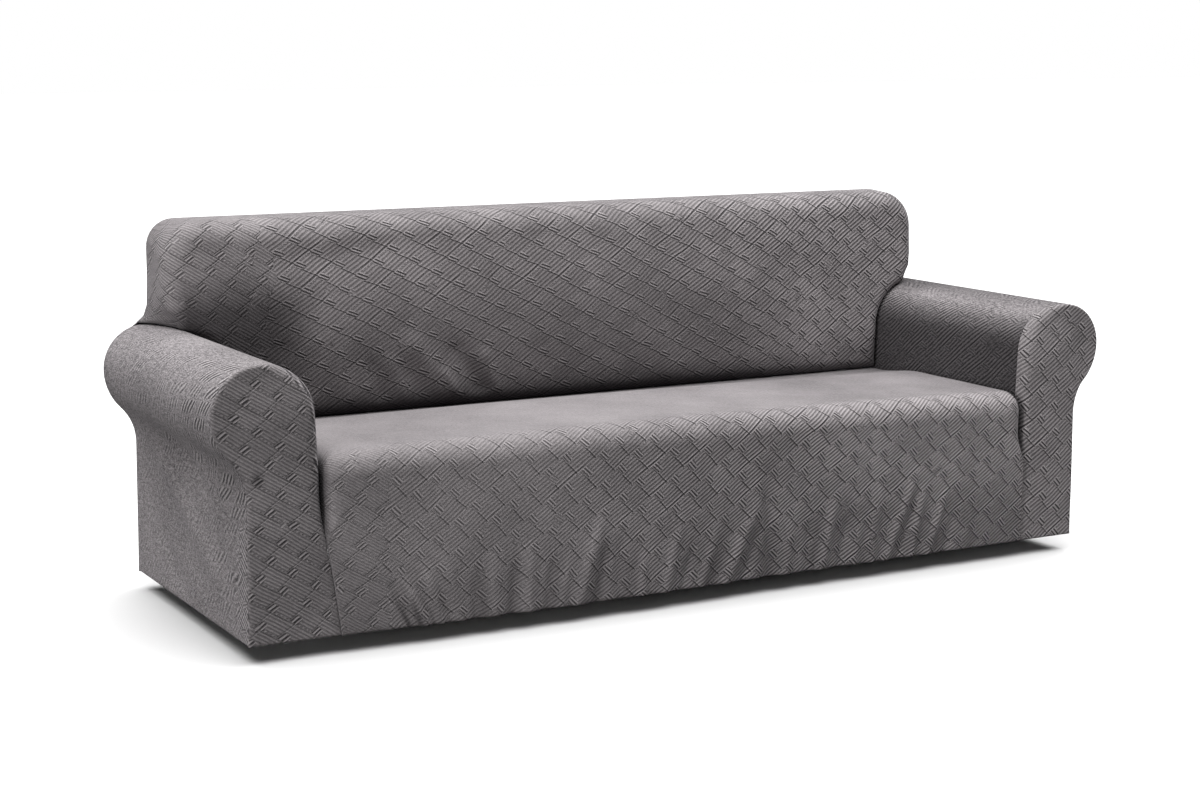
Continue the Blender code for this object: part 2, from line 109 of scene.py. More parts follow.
def run_along(chain: Array) -> Array:
    """How far along a polyline each of its points lies, by its first two columns."""
    steps = np.linalg.norm(np.diff(chain[:, :2], axis=0), axis=1)
    return np.concatenate([[0.0], np.cumsum(steps)])


def resample(chain: Array, count: int) -> Array:
    """Spread points evenly along a chain.

    Args:
        chain: the points of a polyline, one per row. Columns past the second only go along.
        count: how many points to return.

    Returns:
        The new points, with the chain's own ends.
    """
    along = run_along(chain)
    places = np.linspace(0.0, along[-1], count)
    return np.column_stack([np.interp(places, along, chain[:, k]) for k in range(chain.shape[1])])


def length_of(chain: Array) -> float:
    """A polyline's length in metres."""
    return float(np.linalg.norm(np.diff(chain, axis=0), axis=1).sum())


def mirrored(chain: Array) -> Array:
    """The same (x, z) chain on the other side of the middle."""
    return chain * np.array([-1.0, 1.0])


# ---------------------------------------------------------------- folds


class Side(Enum):
    """Which arm of the cover, seen from the front."""

    LEFT = -1
    RIGHT = 1


class HemFold(NamedTuple):
    """A soft fold that rises from the front hem. A negative height is a trough."""

    hem_x: float
    lean: float
    top_z: float
    half_width: float
    height: float

    def profile(self, x: Array, z: Array) -> Array:
        """The fold's height across its leaning middle line."""
        return self.height * bump(x, self.hem_x + self.lean * (z - SIZES.hem_z), self.half_width)


class FaceFold(NamedTuple):
    """A soft fold along a straight line in a panel's own two directions."""

    start: tuple
    end: tuple
    half_width: float
    height: float


def folds_of(kind: type, *rows: tuple) -> tuple:
    """Make a fold of each row of plain numbers."""
    return tuple(kind(*row) for row in rows)


APRON_FOLDS = folds_of(
    HemFold,
    (-0.694, -0.52, 0.17, 0.012, 0.0100), (-0.657, -0.32, 0.19, 0.012, 0.0085),
    (-0.612, -0.30, 0.22, 0.018, 0.0068), (-0.575, -0.10, 0.15, 0.010, -0.0051),
    (-0.535, 0.00, 0.20, 0.020, 0.0068), (-0.492, 0.05, 0.17, 0.012, -0.0051),
    (-0.450, 0.00, 0.21, 0.017, 0.0063), (-0.405, 0.10, 0.18, 0.012, -0.0051),
    (-0.372, 0.15, 0.17, 0.010, 0.0034), (-0.330, 0.30, 0.26, 0.015, 0.0060),
    (-0.285, 0.20, 0.20, 0.012, -0.0051), (-0.221, 0.00, 0.22, 0.020, -0.0068),
    (-0.165, 0.00, 0.16, 0.010, 0.0051), (-0.105, 0.22, 0.23, 0.014, 0.0060),
    (-0.060, 0.25, 0.17, 0.011, -0.0051), (-0.010, 0.30, 0.19, 0.012, 0.0051),
    (0.058, 0.44, 0.25, 0.016, 0.0067), (0.105, 0.35, 0.18, 0.012, -0.0051),
    (0.178, -0.05, 0.34, 0.017, -0.0067), (0.228, 0.05, 0.20, 0.013, 0.0051),
    (0.286, 0.00, 0.19, 0.013, -0.0053), (0.326, 0.19, 0.24, 0.014, 0.0075),
    (0.378, 0.15, 0.20, 0.012, -0.0051), (0.420, 0.10, 0.17, 0.012, 0.0051),
    (0.472, 0.04, 0.23, 0.013, 0.0060), (0.512, 0.39, 0.28, 0.012, 0.0067),
    (0.550, 0.30, 0.20, 0.010, -0.0051), (0.587, 0.18, 0.24, 0.009, 0.0067),
    (0.636, 0.32, 0.23, 0.009, 0.0067), (0.690, 0.25, 0.18, 0.013, -0.0051),
    (0.745, 0.20, 0.16, 0.014, 0.0034), (-0.770, -0.30, 0.13, 0.012, 0.0034),
)

# Painted shade: dark lines down the apron's low folds, where shade falls. Their height is how dark they are,
# as a share.
HEM_CREASE_SHADE = folds_of(
    HemFold,
    (-0.731, -0.52, 0.14, 0.006, 0.60), (-0.707, -0.40, 0.12, 0.006, 0.60),
    (-0.560, -0.10, 0.20, 0.016, 0.32), (-0.490, 0.05, 0.22, 0.016, 0.30),
    (-0.395, 0.10, 0.22, 0.018, 0.28), (-0.285, 0.20, 0.24, 0.016, 0.32), (-0.205, 0.10, 0.26, 0.020, 0.27),
    (0.010, 0.30, 0.26, 0.018, 0.27), (0.180, -0.05, 0.36, 0.022, 0.25), (0.300, 0.05, 0.22, 0.014, 0.30),
)

BACK_FOLDS = folds_of(
    FaceFold,
    ((0.09, 0.84), (0.26, 0.45), 0.055, 0.007), ((-0.82, 0.76), (-0.50, 0.79), 0.035, -0.005),
    ((-0.72, 0.82), (-0.66, 0.80), 0.040, 0.003), ((-0.45, 0.55), (-0.36, 0.43), 0.032, 0.010),
    ((-0.37, 0.48), (-0.33, 0.42), 0.012, 0.006), ((-0.33, 0.53), (-0.27, 0.43), 0.024, -0.010),
    ((-0.26, 0.51), (-0.23, 0.43), 0.018, 0.006), ((-0.51, 0.51), (-0.47, 0.43), 0.022, 0.006),
    ((-0.56, 0.51), (-0.53, 0.43), 0.018, -0.003), ((-0.68, 0.57), (-0.62, 0.45), 0.040, 0.005),
    ((-0.85, 0.70), (-0.78, 0.57), 0.035, -0.004), ((0.45, 0.80), (0.60, 0.76), 0.045, 0.003),
    ((0.62, 0.70), (0.87, 0.51), 0.045, -0.004), ((0.80, 0.61), (0.90, 0.49), 0.030, 0.003),
)

ARM_FOLDS = folds_of(
    FaceFold,
    ((0.66, 0.40), (0.20, 0.16), 0.036, 0.008), ((0.45, 0.42), (0.12, 0.27), 0.026, -0.007),
    ((0.68, 0.24), (0.42, 0.06), 0.036, -0.006), ((0.30, 0.38), (0.06, 0.20), 0.018, 0.006),
    ((0.16, 0.34), (0.05, 0.06), 0.016, 0.005),
)


def fold_height(folds: tuple, across: Array, up: Array) -> Array:
    """How far straight folds lift a panel.

    Args:
        folds: the FaceFold rows.
        across: each point's place in the panel's first direction.
        up: each point's place in its second direction.

    Returns:
        The lift in metres at each point.
    """
    total = np.zeros(np.broadcast(across, up).shape)
    for fold in folds:
        start = np.array(fold.start)
        run = np.array(fold.end) - start
        along = ((across - start[0]) * run[0] + (up - start[1]) * run[1]) / (run @ run)
        nearest = np.clip(along, 0.0, 1.0)
        distance = np.hypot(across - start[0] - nearest * run[0], up - start[1] - nearest * run[1])
        total += fold.height * bump(distance, 0.0, fold.half_width)
    return total


# ---------------------------------------------------------------- shared sizes


class SeamLevel(NamedTuple):
    """The seam between the apron and each arm front, as |x| on the level z."""

    z: float
    left: float
    right: float


@dataclass(frozen=True)
class CoverSizes:
    """Sizes that more than one panel uses, in metres and degrees."""

    cloth: float = 0.0025
    seam_gap: float = 0.0003
    tuck_gap: float = 0.0002
    hem_z: float = 0.040
    hem_roll: float = 0.005
    seam_roll: float = 0.0009
    seam_land: float = 0.002
    arm_top_z: float = 0.625
    arm_inner_x: float = 0.9205
    arm_foot: tuple = (0.9217, 0.372)
    arm_lean_x: float = 0.925
    arm_inner_radius: float = 0.115
    arm_top_flat: float = 0.012
    arm_outer_radius: float = 0.103
    arm_under_radius: float = 0.127
    arm_under_angle: float = 45.0
    arm_hollow_radius: float = 0.115
    arm_hem_flare: float = 0.004
    arm_front_roll: float = 0.005
    arm_front_inner_roll: float = 0.026
    seam_top_z: float = 0.400
    tuck_end_z: float = 0.240
    junction_y: float = 0.602
    junction_z: float = 0.394
    deck_dip: float = 0.24
    back_lean: float = 0.015
    back_end_bulge: float = 0.008
    back_middle_bulge: float = 0.016
    back_middle_x: float = 0.55
    back_top_z: float = 0.866
    back_end_x: float = 1.045
    back_corner: float = 0.090
    back_rear_corner: float = 0.065
    back_side_z: float = 0.735
    web: tuple = ((0.000, 0.0030), (0.030, 0.0030), (0.012, 0.0170), (0.003, 0.0420))
    back_edge_roll: float = 0.050
    back_foot_roll: float = 0.030
    back_tuck: float = 0.015
    rear_seam_y: float = 0.750
    seams: tuple = (
        SeamLevel(0.040, 0.884, 0.925),
        SeamLevel(0.100, 0.892, 0.9245),
        SeamLevel(0.170, 0.902, 0.9235),
        SeamLevel(0.240, 0.914, 0.9225),
        SeamLevel(0.290, 0.919, 0.9215),
        SeamLevel(0.400, 0.9205, 0.9205),
    )

    def arm_inner(self) -> Array:
        """The right arm's (x, z) points from the seat up its inner face to the top of its roll.

        Returns:
            Rows of (x, z).
        """
        centre = (self.arm_lean_x + self.arm_inner_radius, self.arm_top_z - self.arm_inner_radius)
        foot = [self.arm_foot, (self.arm_inner_x, self.seam_top_z), (self.arm_lean_x, centre[1])]
        return np.concatenate([foot, arc(centre, self.arm_inner_radius, 180, 90, 24)])

    def arm_outer(self) -> Array:
        """The right arm's (x, z) points from the top of its roll round and down to the hem.

        Returns:
            Rows of (x, z).
        """
        top = (self.arm_lean_x + self.arm_inner_radius + self.arm_top_flat, self.arm_top_z)
        roll = (top[0], top[1] - self.arm_outer_radius)
        widest = roll[0] + self.arm_outer_radius
        under = (widest - self.arm_under_radius, roll[1])
        turn = math.radians(self.arm_under_angle)
        lower = arc(under, self.arm_under_radius, 0, -self.arm_under_angle, 12)
        hollow = lower[-1] + self.arm_hollow_radius * np.array([math.cos(turn), -math.sin(turn)])
        curve = arc(tuple(hollow), self.arm_hollow_radius, 180 - self.arm_under_angle, 180, 12)
        hem = (curve[-1][0] + self.arm_hem_flare, self.hem_z)
        return np.concatenate([[top], arc(roll, self.arm_outer_radius, 90, 0, 24), lower, curve, [hem]])

    def seam_x(self, side: Side, z: Array | float) -> Array:
        """|x| of the seam between the apron and the arm front of one side."""
        places = [row.right if side is Side.RIGHT else row.left for row in self.seams]
        return np.interp(z, [row.z for row in self.seams], places)

    def arm_edge_roll(self, x: Array, z: Array) -> Array:
        """How deep the arm front rolls back at its outline: most over the roll's inner side.

        Args:
            x: |x| of each point.
            z: its level.

        Returns:
            The radius at each point.
        """
        rise = smooth(z, self.tuck_end_z, self.tuck_end_z + 0.10)
        inner = self.seam_roll + (self.arm_front_inner_roll - self.seam_roll) * rise
        return inner + (self.arm_front_roll - inner) * smooth(x, 0.99, 1.05)

    def back_face_y(self, z: Array, x: Array | float | None = None) -> Array:
        """Where the back's front face stands: nearly upright, and fuller halfway up and in the middle.

        Args:
            z: the level.
            x: the place across, or none for the face's ends.

        Returns:
            The face's y at each place.
        """
        x = self.arm_inner_x if x is None else x
        below_top = np.clip((self.back_top_z - z) / (self.back_top_z - self.junction_z), 0.0, 1.0)
        to_middle = fall(np.abs(x), self.back_middle_x, self.arm_inner_x)
        bulge = self.back_end_bulge + self.back_middle_bulge * to_middle
        full = 4.0 * below_top * (1.0 - below_top)
        return self.junction_y + self.back_lean * (1.0 - below_top**2) - bulge * full

    def rear_outline(self) -> Array:
        """The right-hand rear seam over the arm: out to the web, up the end and round the rear corner.

        Returns:
            Rows of (x, z), from the arm up to the top.
        """
        radius = self.back_rear_corner
        corner = (self.back_end_x - radius, self.back_top_z - radius)
        web = [(self.back_end_x + out, self.arm_top_z + up) for out, up in self.web]
        end = [(self.back_end_x, self.back_side_z), (self.back_end_x, corner[1])]
        return np.concatenate([web, end, arc(corner, radius, 0, 90, 20)])


SIZES = CoverSizes()


# ---------------------------------------------------------------- sheets


@dataclass
class SheetMesh:
    """The outer side of a panel while it is being drawn."""

    points: list = field(default_factory=list)
    uvs: list = field(default_factory=list)
    faces: list = field(default_factory=list)

    def add(self, points: Array, uvs: Array) -> Array:
        """Add points with their places on the flat cloth, and return their numbers.

        Args:
            points: rows of (x, y, z).
            uvs: rows of places on the flat cloth, in metres.

        Returns:
            The new points' numbers.
        """
        start = len(self.points)
        self.points.extend(points)
        self.uvs.extend(uvs)
        return np.arange(start, len(self.points))

    def grid(self, points: Array, uvs: Array, flip: bool = False) -> None:
        """Add a whole grid of points and its quads.

        Args:
            points: rows x columns x 3.
            uvs: rows x columns x 2.
            flip: turn the faces round.
        """
        rows, columns = points.shape[:2]
        number = self.add(points.reshape(-1, 3), uvs.reshape(-1, 2)).reshape(rows, columns)
        quads = quads_of(number)
        self.faces.extend((quads[:, ::-1] if flip else quads).tolist())

    def band(self, outer: Array, inner: Array, on: Array) -> None:
        """Join two closed rings with quads.

        Args:
            outer: the point numbers of one ring.
            inner: those of the other one.
            on: which of them take part.
        """
        after = np.roll(np.arange(len(outer)), -1)
        for i in np.flatnonzero(on & on[after]):
            j = after[i]
            self.faces.append([int(outer[i]), int(outer[j]), int(inner[j]), int(inner[i])])


@dataclass
class Lid:
    """A panel that faces front or rear and rolls back round its whole outline.

    left and right are (x, z) chains with the same number of points, from the foot to the top. surface gives
    the face's y at (x, z), roll_of the radius of the roll there, and climb the length of cloth up to a level.
    facing is -1 to the front and 1 to the rear. With an evenness of 1 the rows bend to the sides' own spacing
    only within side_share of the width. strip, where there is one, carries the rim on to the rear seam.
    """

    left: Array
    right: Array
    columns: int
    roll_of: Field
    surface: Field
    climb: Callable[[Array], Array]
    facing: int = -1
    evenness: float = 0.0
    strip: Callable[[Array], tuple] | None = None
    roll_steps: int = 6
    strip_steps: int = 14
    strip_reached: float = 0.96
    side_share: float = 0.16

    def fill(self, foot: Array, top: Array, left: Array, right: Array) -> Array:
        """Spread points over the face within its four edges.

        Args:
            foot: the points along the foot, from left to right.
            top: the points along the top.
            left: the points up the left side.
            right: the points up the right side.

        Returns:
            rows x columns x 2 points, with the edges' own points round them.
        """
        across = np.linspace(0.0, 1.0, len(foot))
        up = np.linspace(0.0, 1.0, len(left))[:, None, None]
        spread = (1.0 - up) * foot[None] + up * top[None]
        for chain, away in ((left, across), (right, 1.0 - across)):
            bend = chain[:, None] - (1.0 - up) * chain[0] - up * chain[-1]
            by_side = 1.0 - smooth(away, 0.0, self.side_share)
            near = self.evenness * by_side + (1.0 - self.evenness) * (1.0 - away)
            spread = spread + bend * np.stack([1.0 - away, near], axis=-1)[None]
        return spread

    def inward(self, loop: Array, roll: Array) -> Array:
        """Find the way in from the outline, turned gently round its corners.

        Args:
            loop: the outline's (x, z) points, all round.
            roll: how deep the outline rolls back at each of them.

        Returns:
            One unit normal per point.
        """
        ahead = np.roll(loop, -1, axis=0) - loop
        steps = np.linalg.norm(ahead, axis=1)
        ahead /= steps[:, None]
        normal = np.stack([-ahead[:, 1], ahead[:, 0]], axis=1)
        at_point = normal + np.roll(normal, 1, axis=0)
        weight = 0.5 * (steps + np.roll(steps, 1))
        along = np.cumsum(steps) - steps
        gap = np.abs(along[:, None] - along[None, :])
        gap = np.minimum(gap, steps.sum() - gap)
        near = np.exp(-0.5 * (gap / np.maximum(roll, 1e-4)[:, None]) ** 2) * weight[None, :]
        turned = near @ at_point
        return turned / np.linalg.norm(turned, axis=1, keepdims=True)

    def mesh(self) -> SheetMesh:
        """Draw the rolled rim, the face within it and the strip behind it.

        Returns:
            The panel's outer side.
        """
        sheet = SheetMesh()
        rows, columns = len(self.left) - 1, self.columns
        path = [(0, c) for c in range(columns)] + [(r, columns) for r in range(rows)]
        path += [(rows, c) for c in range(columns, 0, -1)] + [(r, 0) for r in range(rows, 0, -1)]
        foot, top = (np.linspace(self.left[k], self.right[k], columns + 1) for k in (0, -1))
        loop = np.concatenate([foot[:-1], self.right[:-1], top[:0:-1], self.left[:0:-1]])
        roll = self.roll_of(loop[:, 0], loop[:, 1])
        normal = self.inward(loop, roll)
        flat_edge = loop + normal * roll[:, None]
        flat_uv = np.column_stack([flat_edge[:, 0], self.climb(flat_edge[:, 1])])

        def ring(turn: float, behind: float) -> Array:
            """One ring of the rim, at a turn of its roll or straight behind it.

            Args:
                turn: how far round its roll the ring stands, in radians.
                behind: how far behind the roll it stands, in metres.

            Returns:
                Its points' numbers.
            """
            xz = loop + normal * (roll * (1.0 - math.cos(turn)))[:, None]
            y = self.surface(xz[:, 0], xz[:, 1]) - self.facing * (roll * (1.0 - math.sin(turn)) + behind)
            away = roll * (0.5 * math.pi - turn) + behind
            return sheet.add(np.column_stack([xz[:, 0], y, xz[:, 1]]), flat_uv - normal * away[:, None])

        everywhere = np.ones(len(path), bool)
        rings = [ring(0.0, SIZES.seam_land)]
        rings += [ring(turn, 0.0) for turn in np.linspace(0.0, 0.5 * math.pi, self.roll_steps + 1)]
        for outer, inner in zip(rings, rings[1:]):
            sheet.band(outer, inner, everywhere)
        if self.strip:
            self._add_strip(sheet, loop, normal, rings[0])
        place_of = np.zeros((rows + 1, columns + 1), int)
        for number, place in zip(rings[-1], path):
            place_of[place] = number
        placed = np.array(sheet.points)[:, [0, 2]]
        edges = [placed[numbers] for numbers in (place_of[0], place_of[-1], place_of[:, 0], place_of[:, -1])]
        inside = self.fill(*edges)[1:-1, 1:-1]
        x, z = inside[..., 0], inside[..., 1]
        points = np.stack([x, self.surface(x, z), z], axis=-1).reshape(-1, 3)
        uvs = np.stack([x, self.climb(z)], axis=-1).reshape(-1, 2)
        place_of[1:-1, 1:-1] = sheet.add(points, uvs).reshape(rows - 1, columns - 1)
        sheet.faces.extend(quads_of(place_of).tolist())
        if self.facing > 0:
            sheet.faces = [face[::-1] for face in sheet.faces]
        return sheet

    def _add_strip(self, sheet: SheetMesh, loop: Array, normal: Array, rim: Array) -> None:
        """Carry the rim on back to the rear seam where the strip is on.

        Args:
            sheet: the mesh so far.
            loop: the outline's (x, z) points.
            normal: the way in from each of them.
            rim: the numbers of the rim's points.
        """
        on, rear_loop = self.strip(loop)
        edge_y = np.array([sheet.points[k][1] for k in rim])
        edge_uv = np.array([sheet.uvs[k] for k in rim])
        run = SIZES.rear_seam_y - SIZES.seam_gap - edge_y
        inner = rim
        for share in np.linspace(0.0, 1.0, self.strip_steps + 1)[1:]:
            outer = np.full(len(loop), -1)
            xz = loop + (rear_loop - loop) * min(1.0, share / self.strip_reached)
            points = np.column_stack([xz[:, 0], edge_y + run * share, xz[:, 1]])
            outer[on] = sheet.add(points[on], (edge_uv - normal * (run * share)[:, None])[on])
            sheet.band(outer, inner, on)
            inner = outer


# ---------------------------------------------------------------- cloth finish


class Lattice(NamedTuple):
    """The two directions of the basket relief, in metres on the flat cloth.

    rib runs along the fine ribs of one block, and line along the joints between the blocks.
    """

    rib: tuple
    line: tuple

    def counters(self) -> tuple:
        """Two vectors that count blocks along the ribs and along the joints."""
        both = np.linalg.inv(np.array([self.rib, self.line]).T)
        return (*both[0], 0.0), (*both[1], 0.0)


MAIN_LATTICE = Lattice(rib=(0.0425, 0.0293), line=(0.0540, -0.0300))
APRON_LATTICE = Lattice(rib=(0.0430, 0.0305), line=(0.0465, -0.0345))
TURNED_LATTICE = Lattice(rib=(0.0490, -0.0315), line=(0.0245, 0.0350))
ARM_LATTICE = Lattice(rib=(-0.0437, 0.0330), line=(-0.0570, -0.0290))


class Weave(NamedTuple):
    """How the relief runs on one panel.

    main and turned are its two lattices, and strokes is the lattice of the loose strokes where a panel has
    them. bloom scales the mottling and the knit, jog shifts the blocks of a row, bold and ribbed scale the
    tone of the cross strokes and of the ribs, uneven lets the blocks differ, joints scales the joints, ribs
    counts the ribs in a block, and grain stretches the mottling along the cloth.
    """

    main: Lattice = MAIN_LATTICE
    turned: Lattice = TURNED_LATTICE
    strokes: Lattice | None = None
    bloom: float = 0.60
    jog: float = 0.14
    bold: float = 1.45
    ribbed: float = 1.0
    uneven: float = 0.20
    joints: float = 1.0
    ribs: float = 6.0
    grain: tuple = (1.0, 1.0, 1.0)


APRON_WEAVE = Weave(main=APRON_LATTICE, jog=-0.16, bold=2.4, ribbed=1.7, joints=1.15, ribs=7.0)
BACK_WEAVE = Weave(bold=3.00, ribbed=1.7)
ARM_WEAVE = Weave(main=ARM_LATTICE, strokes=Lattice(rib=(0.105, 0.010), line=(0.032, 0.038)), bloom=1.75,
                  bold=0.80, ribbed=4.5, uneven=0.75, joints=0.15, grain=(0.5, 1.0, 1.0))
FACING_STROKES = Lattice(rib=(0.100, 0.020), line=(0.027, -0.051))
FACING_WEAVE = {
    Side.LEFT: Weave(strokes=FACING_STROKES, bold=1.0, ribbed=1.25, uneven=0.35, joints=0.55),
    Side.RIGHT: Weave(main=APRON_LATTICE, jog=-0.16, bold=2.6, ribbed=2.2),
}


@dataclass(frozen=True)
class ClothFinish:
    """How the stretch cloth looks: matt grey yarn with a velvety bloom.

    A noise is its scale on the flat cloth, its detail and its roughness. A tone is how far something moves
    the colour from dark to light, and a depth how far it stands out.
    """

    dark: tuple = (0.060, 0.055, 0.057, 1.0)
    light: tuple = (0.370, 0.343, 0.350, 1.0)
    # Painted shade: the dark colour that the cloth is multiplied by in tucks, hollows and other shaded
    # places.
    shaded: tuple = (0.09, 0.085, 0.09, 1.0)
    roughness: float = 0.88
    specular: float = 0.22
    sheen: float = 0.10
    sheen_roughness: float = 0.40
    sheen_tint: tuple = (0.95, 0.92, 1.00, 1.0)
    relief_depth: float = 0.0017
    knit_depth: float = 0.80
    middle_height: float = 0.45
    middle_tone: float = 0.52
    worked_tone: float = 0.68
    cloud_tone: float = 0.55
    mottle_tone: float = 1.30
    knit_tone: float = 1.10
    stroke_tone: float = 1.4
    cloud_noise: tuple = (5.0, 3.0, 0.6)
    mottle_noise: tuple = (115.0, 4.0, 0.85)
    knit_noise: tuple = (300.0, 2.0, 0.7)
    turned_share: float = 0.75
    turned_jog: float = 0.28
    turned_bold: float = 1.45
    ragged_noise: tuple = (22.0, 0.0)
    ragged: float = 0.9


@dataclass(frozen=True)
class BlockShape:
    """One block of the basket relief. Places and widths are shares of a block.

    A pair is where a soft step starts and ends, or the two values that it goes between.
    """

    sway_from: tuple = (3.1, 7.7, 0.0)
    sway_noise: tuple = (7.0, 1.0)
    sway: float = 0.14
    wander_noise: tuple = (7.0, 2.0)
    wander: float = 0.18
    bold_end: tuple = (0.30, 0.40)
    least_reach: float = 0.04
    bold_reach: float = 0.34
    row_edge: float = 0.05
    stroke_heights: tuple = (0.50, 1.35)
    faint_tone: float = 0.60
    rib_height: float = 0.62
    rib_tone: float = 0.34
    top_rib: tuple = (0.80, 0.90)
    top_rib_noise: tuple = (12.0, 0.0)
    top_rib_chance: tuple = (0.45, 0.60)
    top_rib_height: float = 0.70
    top_rib_tone: float = 0.50
    pillow: float = 0.25
    own_tone: float = 0.16
    joint: tuple = (0.014, 0.038)
    joint_height: float = 0.50
    joint_tone: float = 0.75
    lip_start: tuple = (0.03, 0.05)
    lip_end: tuple = (0.06, 0.09)
    lip_height: float = 0.40
    lip_tone: float = 0.45


@dataclass(frozen=True)
class StrokeShape:
    """One loose group of strokes, told like BlockShape."""

    count: float = 6.0
    wander_noise: tuple = (9.0, 1.0)
    wander: float = 0.30
    group_end: tuple = (0.62, 0.80)
    stroke_start: tuple = (0.02, 0.25)
    stroke_end: tuple = (0.70, 0.98)
    strengths: tuple = (0.10, 1.2)


def math_method(operation: str, swapped: bool = False) -> Callable:
    """Make a method of Value that adds one Math node.

    Args:
        operation: the node's operation.
        swapped: take the other operand first.

    Returns:
        The method.
    """

    def method(self: "Value", other: object) -> "Value":
        """Take the operands in their order."""
        return self.graph.math(operation, *((other, self) if swapped else (self, other)))

    return method


class Value:
    """What a socket gives, with plain arithmetic that adds Math nodes."""

    __add__, __radd__ = math_method("ADD"), math_method("ADD", swapped=True)
    __sub__, __rsub__ = math_method("SUBTRACT"), math_method("SUBTRACT", swapped=True)
    __mul__, __rmul__ = math_method("MULTIPLY"), math_method("MULTIPLY", swapped=True)

    def __init__(self, graph: "Graph", socket: bpy.types.NodeSocket) -> None:
        """Keep the socket, and the graph that new nodes go in."""
        self.graph = graph
        self.socket = socket


class Graph:
    """A short way to add and link nodes in one tree."""

    mix_sockets = {"FLOAT": (2, 0), "VECTOR": (4, 1), "RGBA": (6, 2)}

    def __init__(self, tree: bpy.types.NodeTree) -> None:
        """Keep the tree that the nodes go in."""
        self.tree = tree

    def node(self, kind: str, **settings: object) -> bpy.types.Node:
        """Add a node and set its plain properties.

        Args:
            kind: the node's type.
            settings: its plain properties.

        Returns:
            The node.
        """
        made = self.tree.nodes.new(kind)
        for key, value in settings.items():
            setattr(made, key, value)
        return made

    def feed(self, node: bpy.types.Node, inputs: dict) -> None:
        """Link each input of a node to a Value, or set its own value.

        Args:
            node: the node.
            inputs: what each input gets, by its name or number.
        """
        for key, value in inputs.items():
            if isinstance(value, Value):
                self.tree.links.new(value.socket, node.inputs[key])
            else:
                node.inputs[key].default_value = value

    def add(self, kind: str, inputs: dict, output: int | str = 0, **settings: object) -> Value:
        """Add a shader node with its inputs, and give one of its outputs.

        Args:
            kind: the node's type, without its first words.
            inputs: what each input gets.
            output: the name or number of the output that is wanted.
            settings: its plain properties.

        Returns:
            That output.
        """
        made = self.node("ShaderNode" + kind, **settings)
        self.feed(made, inputs)
        return Value(self, made.outputs[output])

    def outputs(self, node: bpy.types.Node) -> dict:
        """A node's outputs by name."""
        return {socket.name: Value(self, socket) for socket in node.outputs}

    def group(self, tree: bpy.types.NodeTree, inputs: dict) -> dict:
        """Use a shader group, and give its outputs by name.

        Args:
            tree: the group.
            inputs: what each input gets.

        Returns:
            The outputs.
        """
        made = self.node("ShaderNodeGroup", node_tree=tree)
        self.feed(made, inputs)
        return self.outputs(made)

    def attribute(self, label: str) -> Value:
        """A mask that the mesh carries."""
        return self.add("Attribute", {}, "Fac", attribute_name=label)

    def math(self, operation: str, *values: object) -> Value:
        """The result of a Math node."""
        return self.add("Math", dict(enumerate(values)), operation=operation)

    def vector(self, operation: str, first: object, second: object, output: str = "Vector") -> Value:
        """The result of a Vector Math node."""
        return self.add("VectorMath", {0: first, 1: second}, output, operation=operation)

    def count(self, place: Value, counter: object) -> Value:
        """How many blocks lie between the origin and a place."""
        return self.vector("DOT_PRODUCT", place, counter, "Value")

    def rise(self, value: object, low: float, high: float) -> Value:
        """A soft step from 0 at low to 1 at high."""
        inputs = {"Value": value, "From Min": low, "From Max": high}
        return self.add("MapRange", inputs, interpolation_type="SMOOTHSTEP")

    def fall(self, value: object, low: float, high: float) -> Value:
        """A soft step from 1 at low to 0 at high."""
        return 1.0 - self.rise(value, low, high)

    def spread(self, value: object, low: float, high: float) -> Value:
        """A value from 0..1 spread over low..high."""
        return self.add("MapRange", {"Value": value, "To Min": low, "To Max": high})

    def mix(
        self, share: object, first: object, second: object, kind: str = "FLOAT", blend: str = "MIX"
    ) -> Value:
        """Blend two values by a share.

        Args:
            share: how far to go from the first to the second.
            first: what share 0 gives.
            second: what share 1 gives, or multiplies the first by.
            kind: FLOAT, VECTOR or RGBA.
            blend: MIX, or MULTIPLY for two colours.

        Returns:
            The blended value.
        """
        start, output = self.mix_sockets[kind]
        inputs = {0: share, start: first, start + 1: second}
        return self.add("Mix", inputs, output, data_type=kind, blend_type=blend)

    def wave(self, value: Value, count: object) -> Value:
        """A cosine from 0 to 1 that comes round count times as the value goes from 0 to 1."""
        return self.math("MULTIPLY_ADD", self.math("COSINE", value * count * (2.0 * math.pi)), 0.5, 0.5)

    def noise(self, place: object, scale: float, detail: float, roughness: float = 0.5) -> Value:
        """A noise value from 0 to 1."""
        inputs = {"Vector": place, "Scale": scale, "Detail": detail, "Roughness": roughness}
        return self.add("TexNoise", inputs)

    def chance(self, along: Value, across: Value) -> Value:
        """A random value from 0 to 1 for each whole block."""
        number = self.add("CombineXYZ", {0: self.math("FLOOR", along), 1: self.math("FLOOR", across)})
        return self.add("TexWhiteNoise", {"Vector": number}, "Value", noise_dimensions="2D")


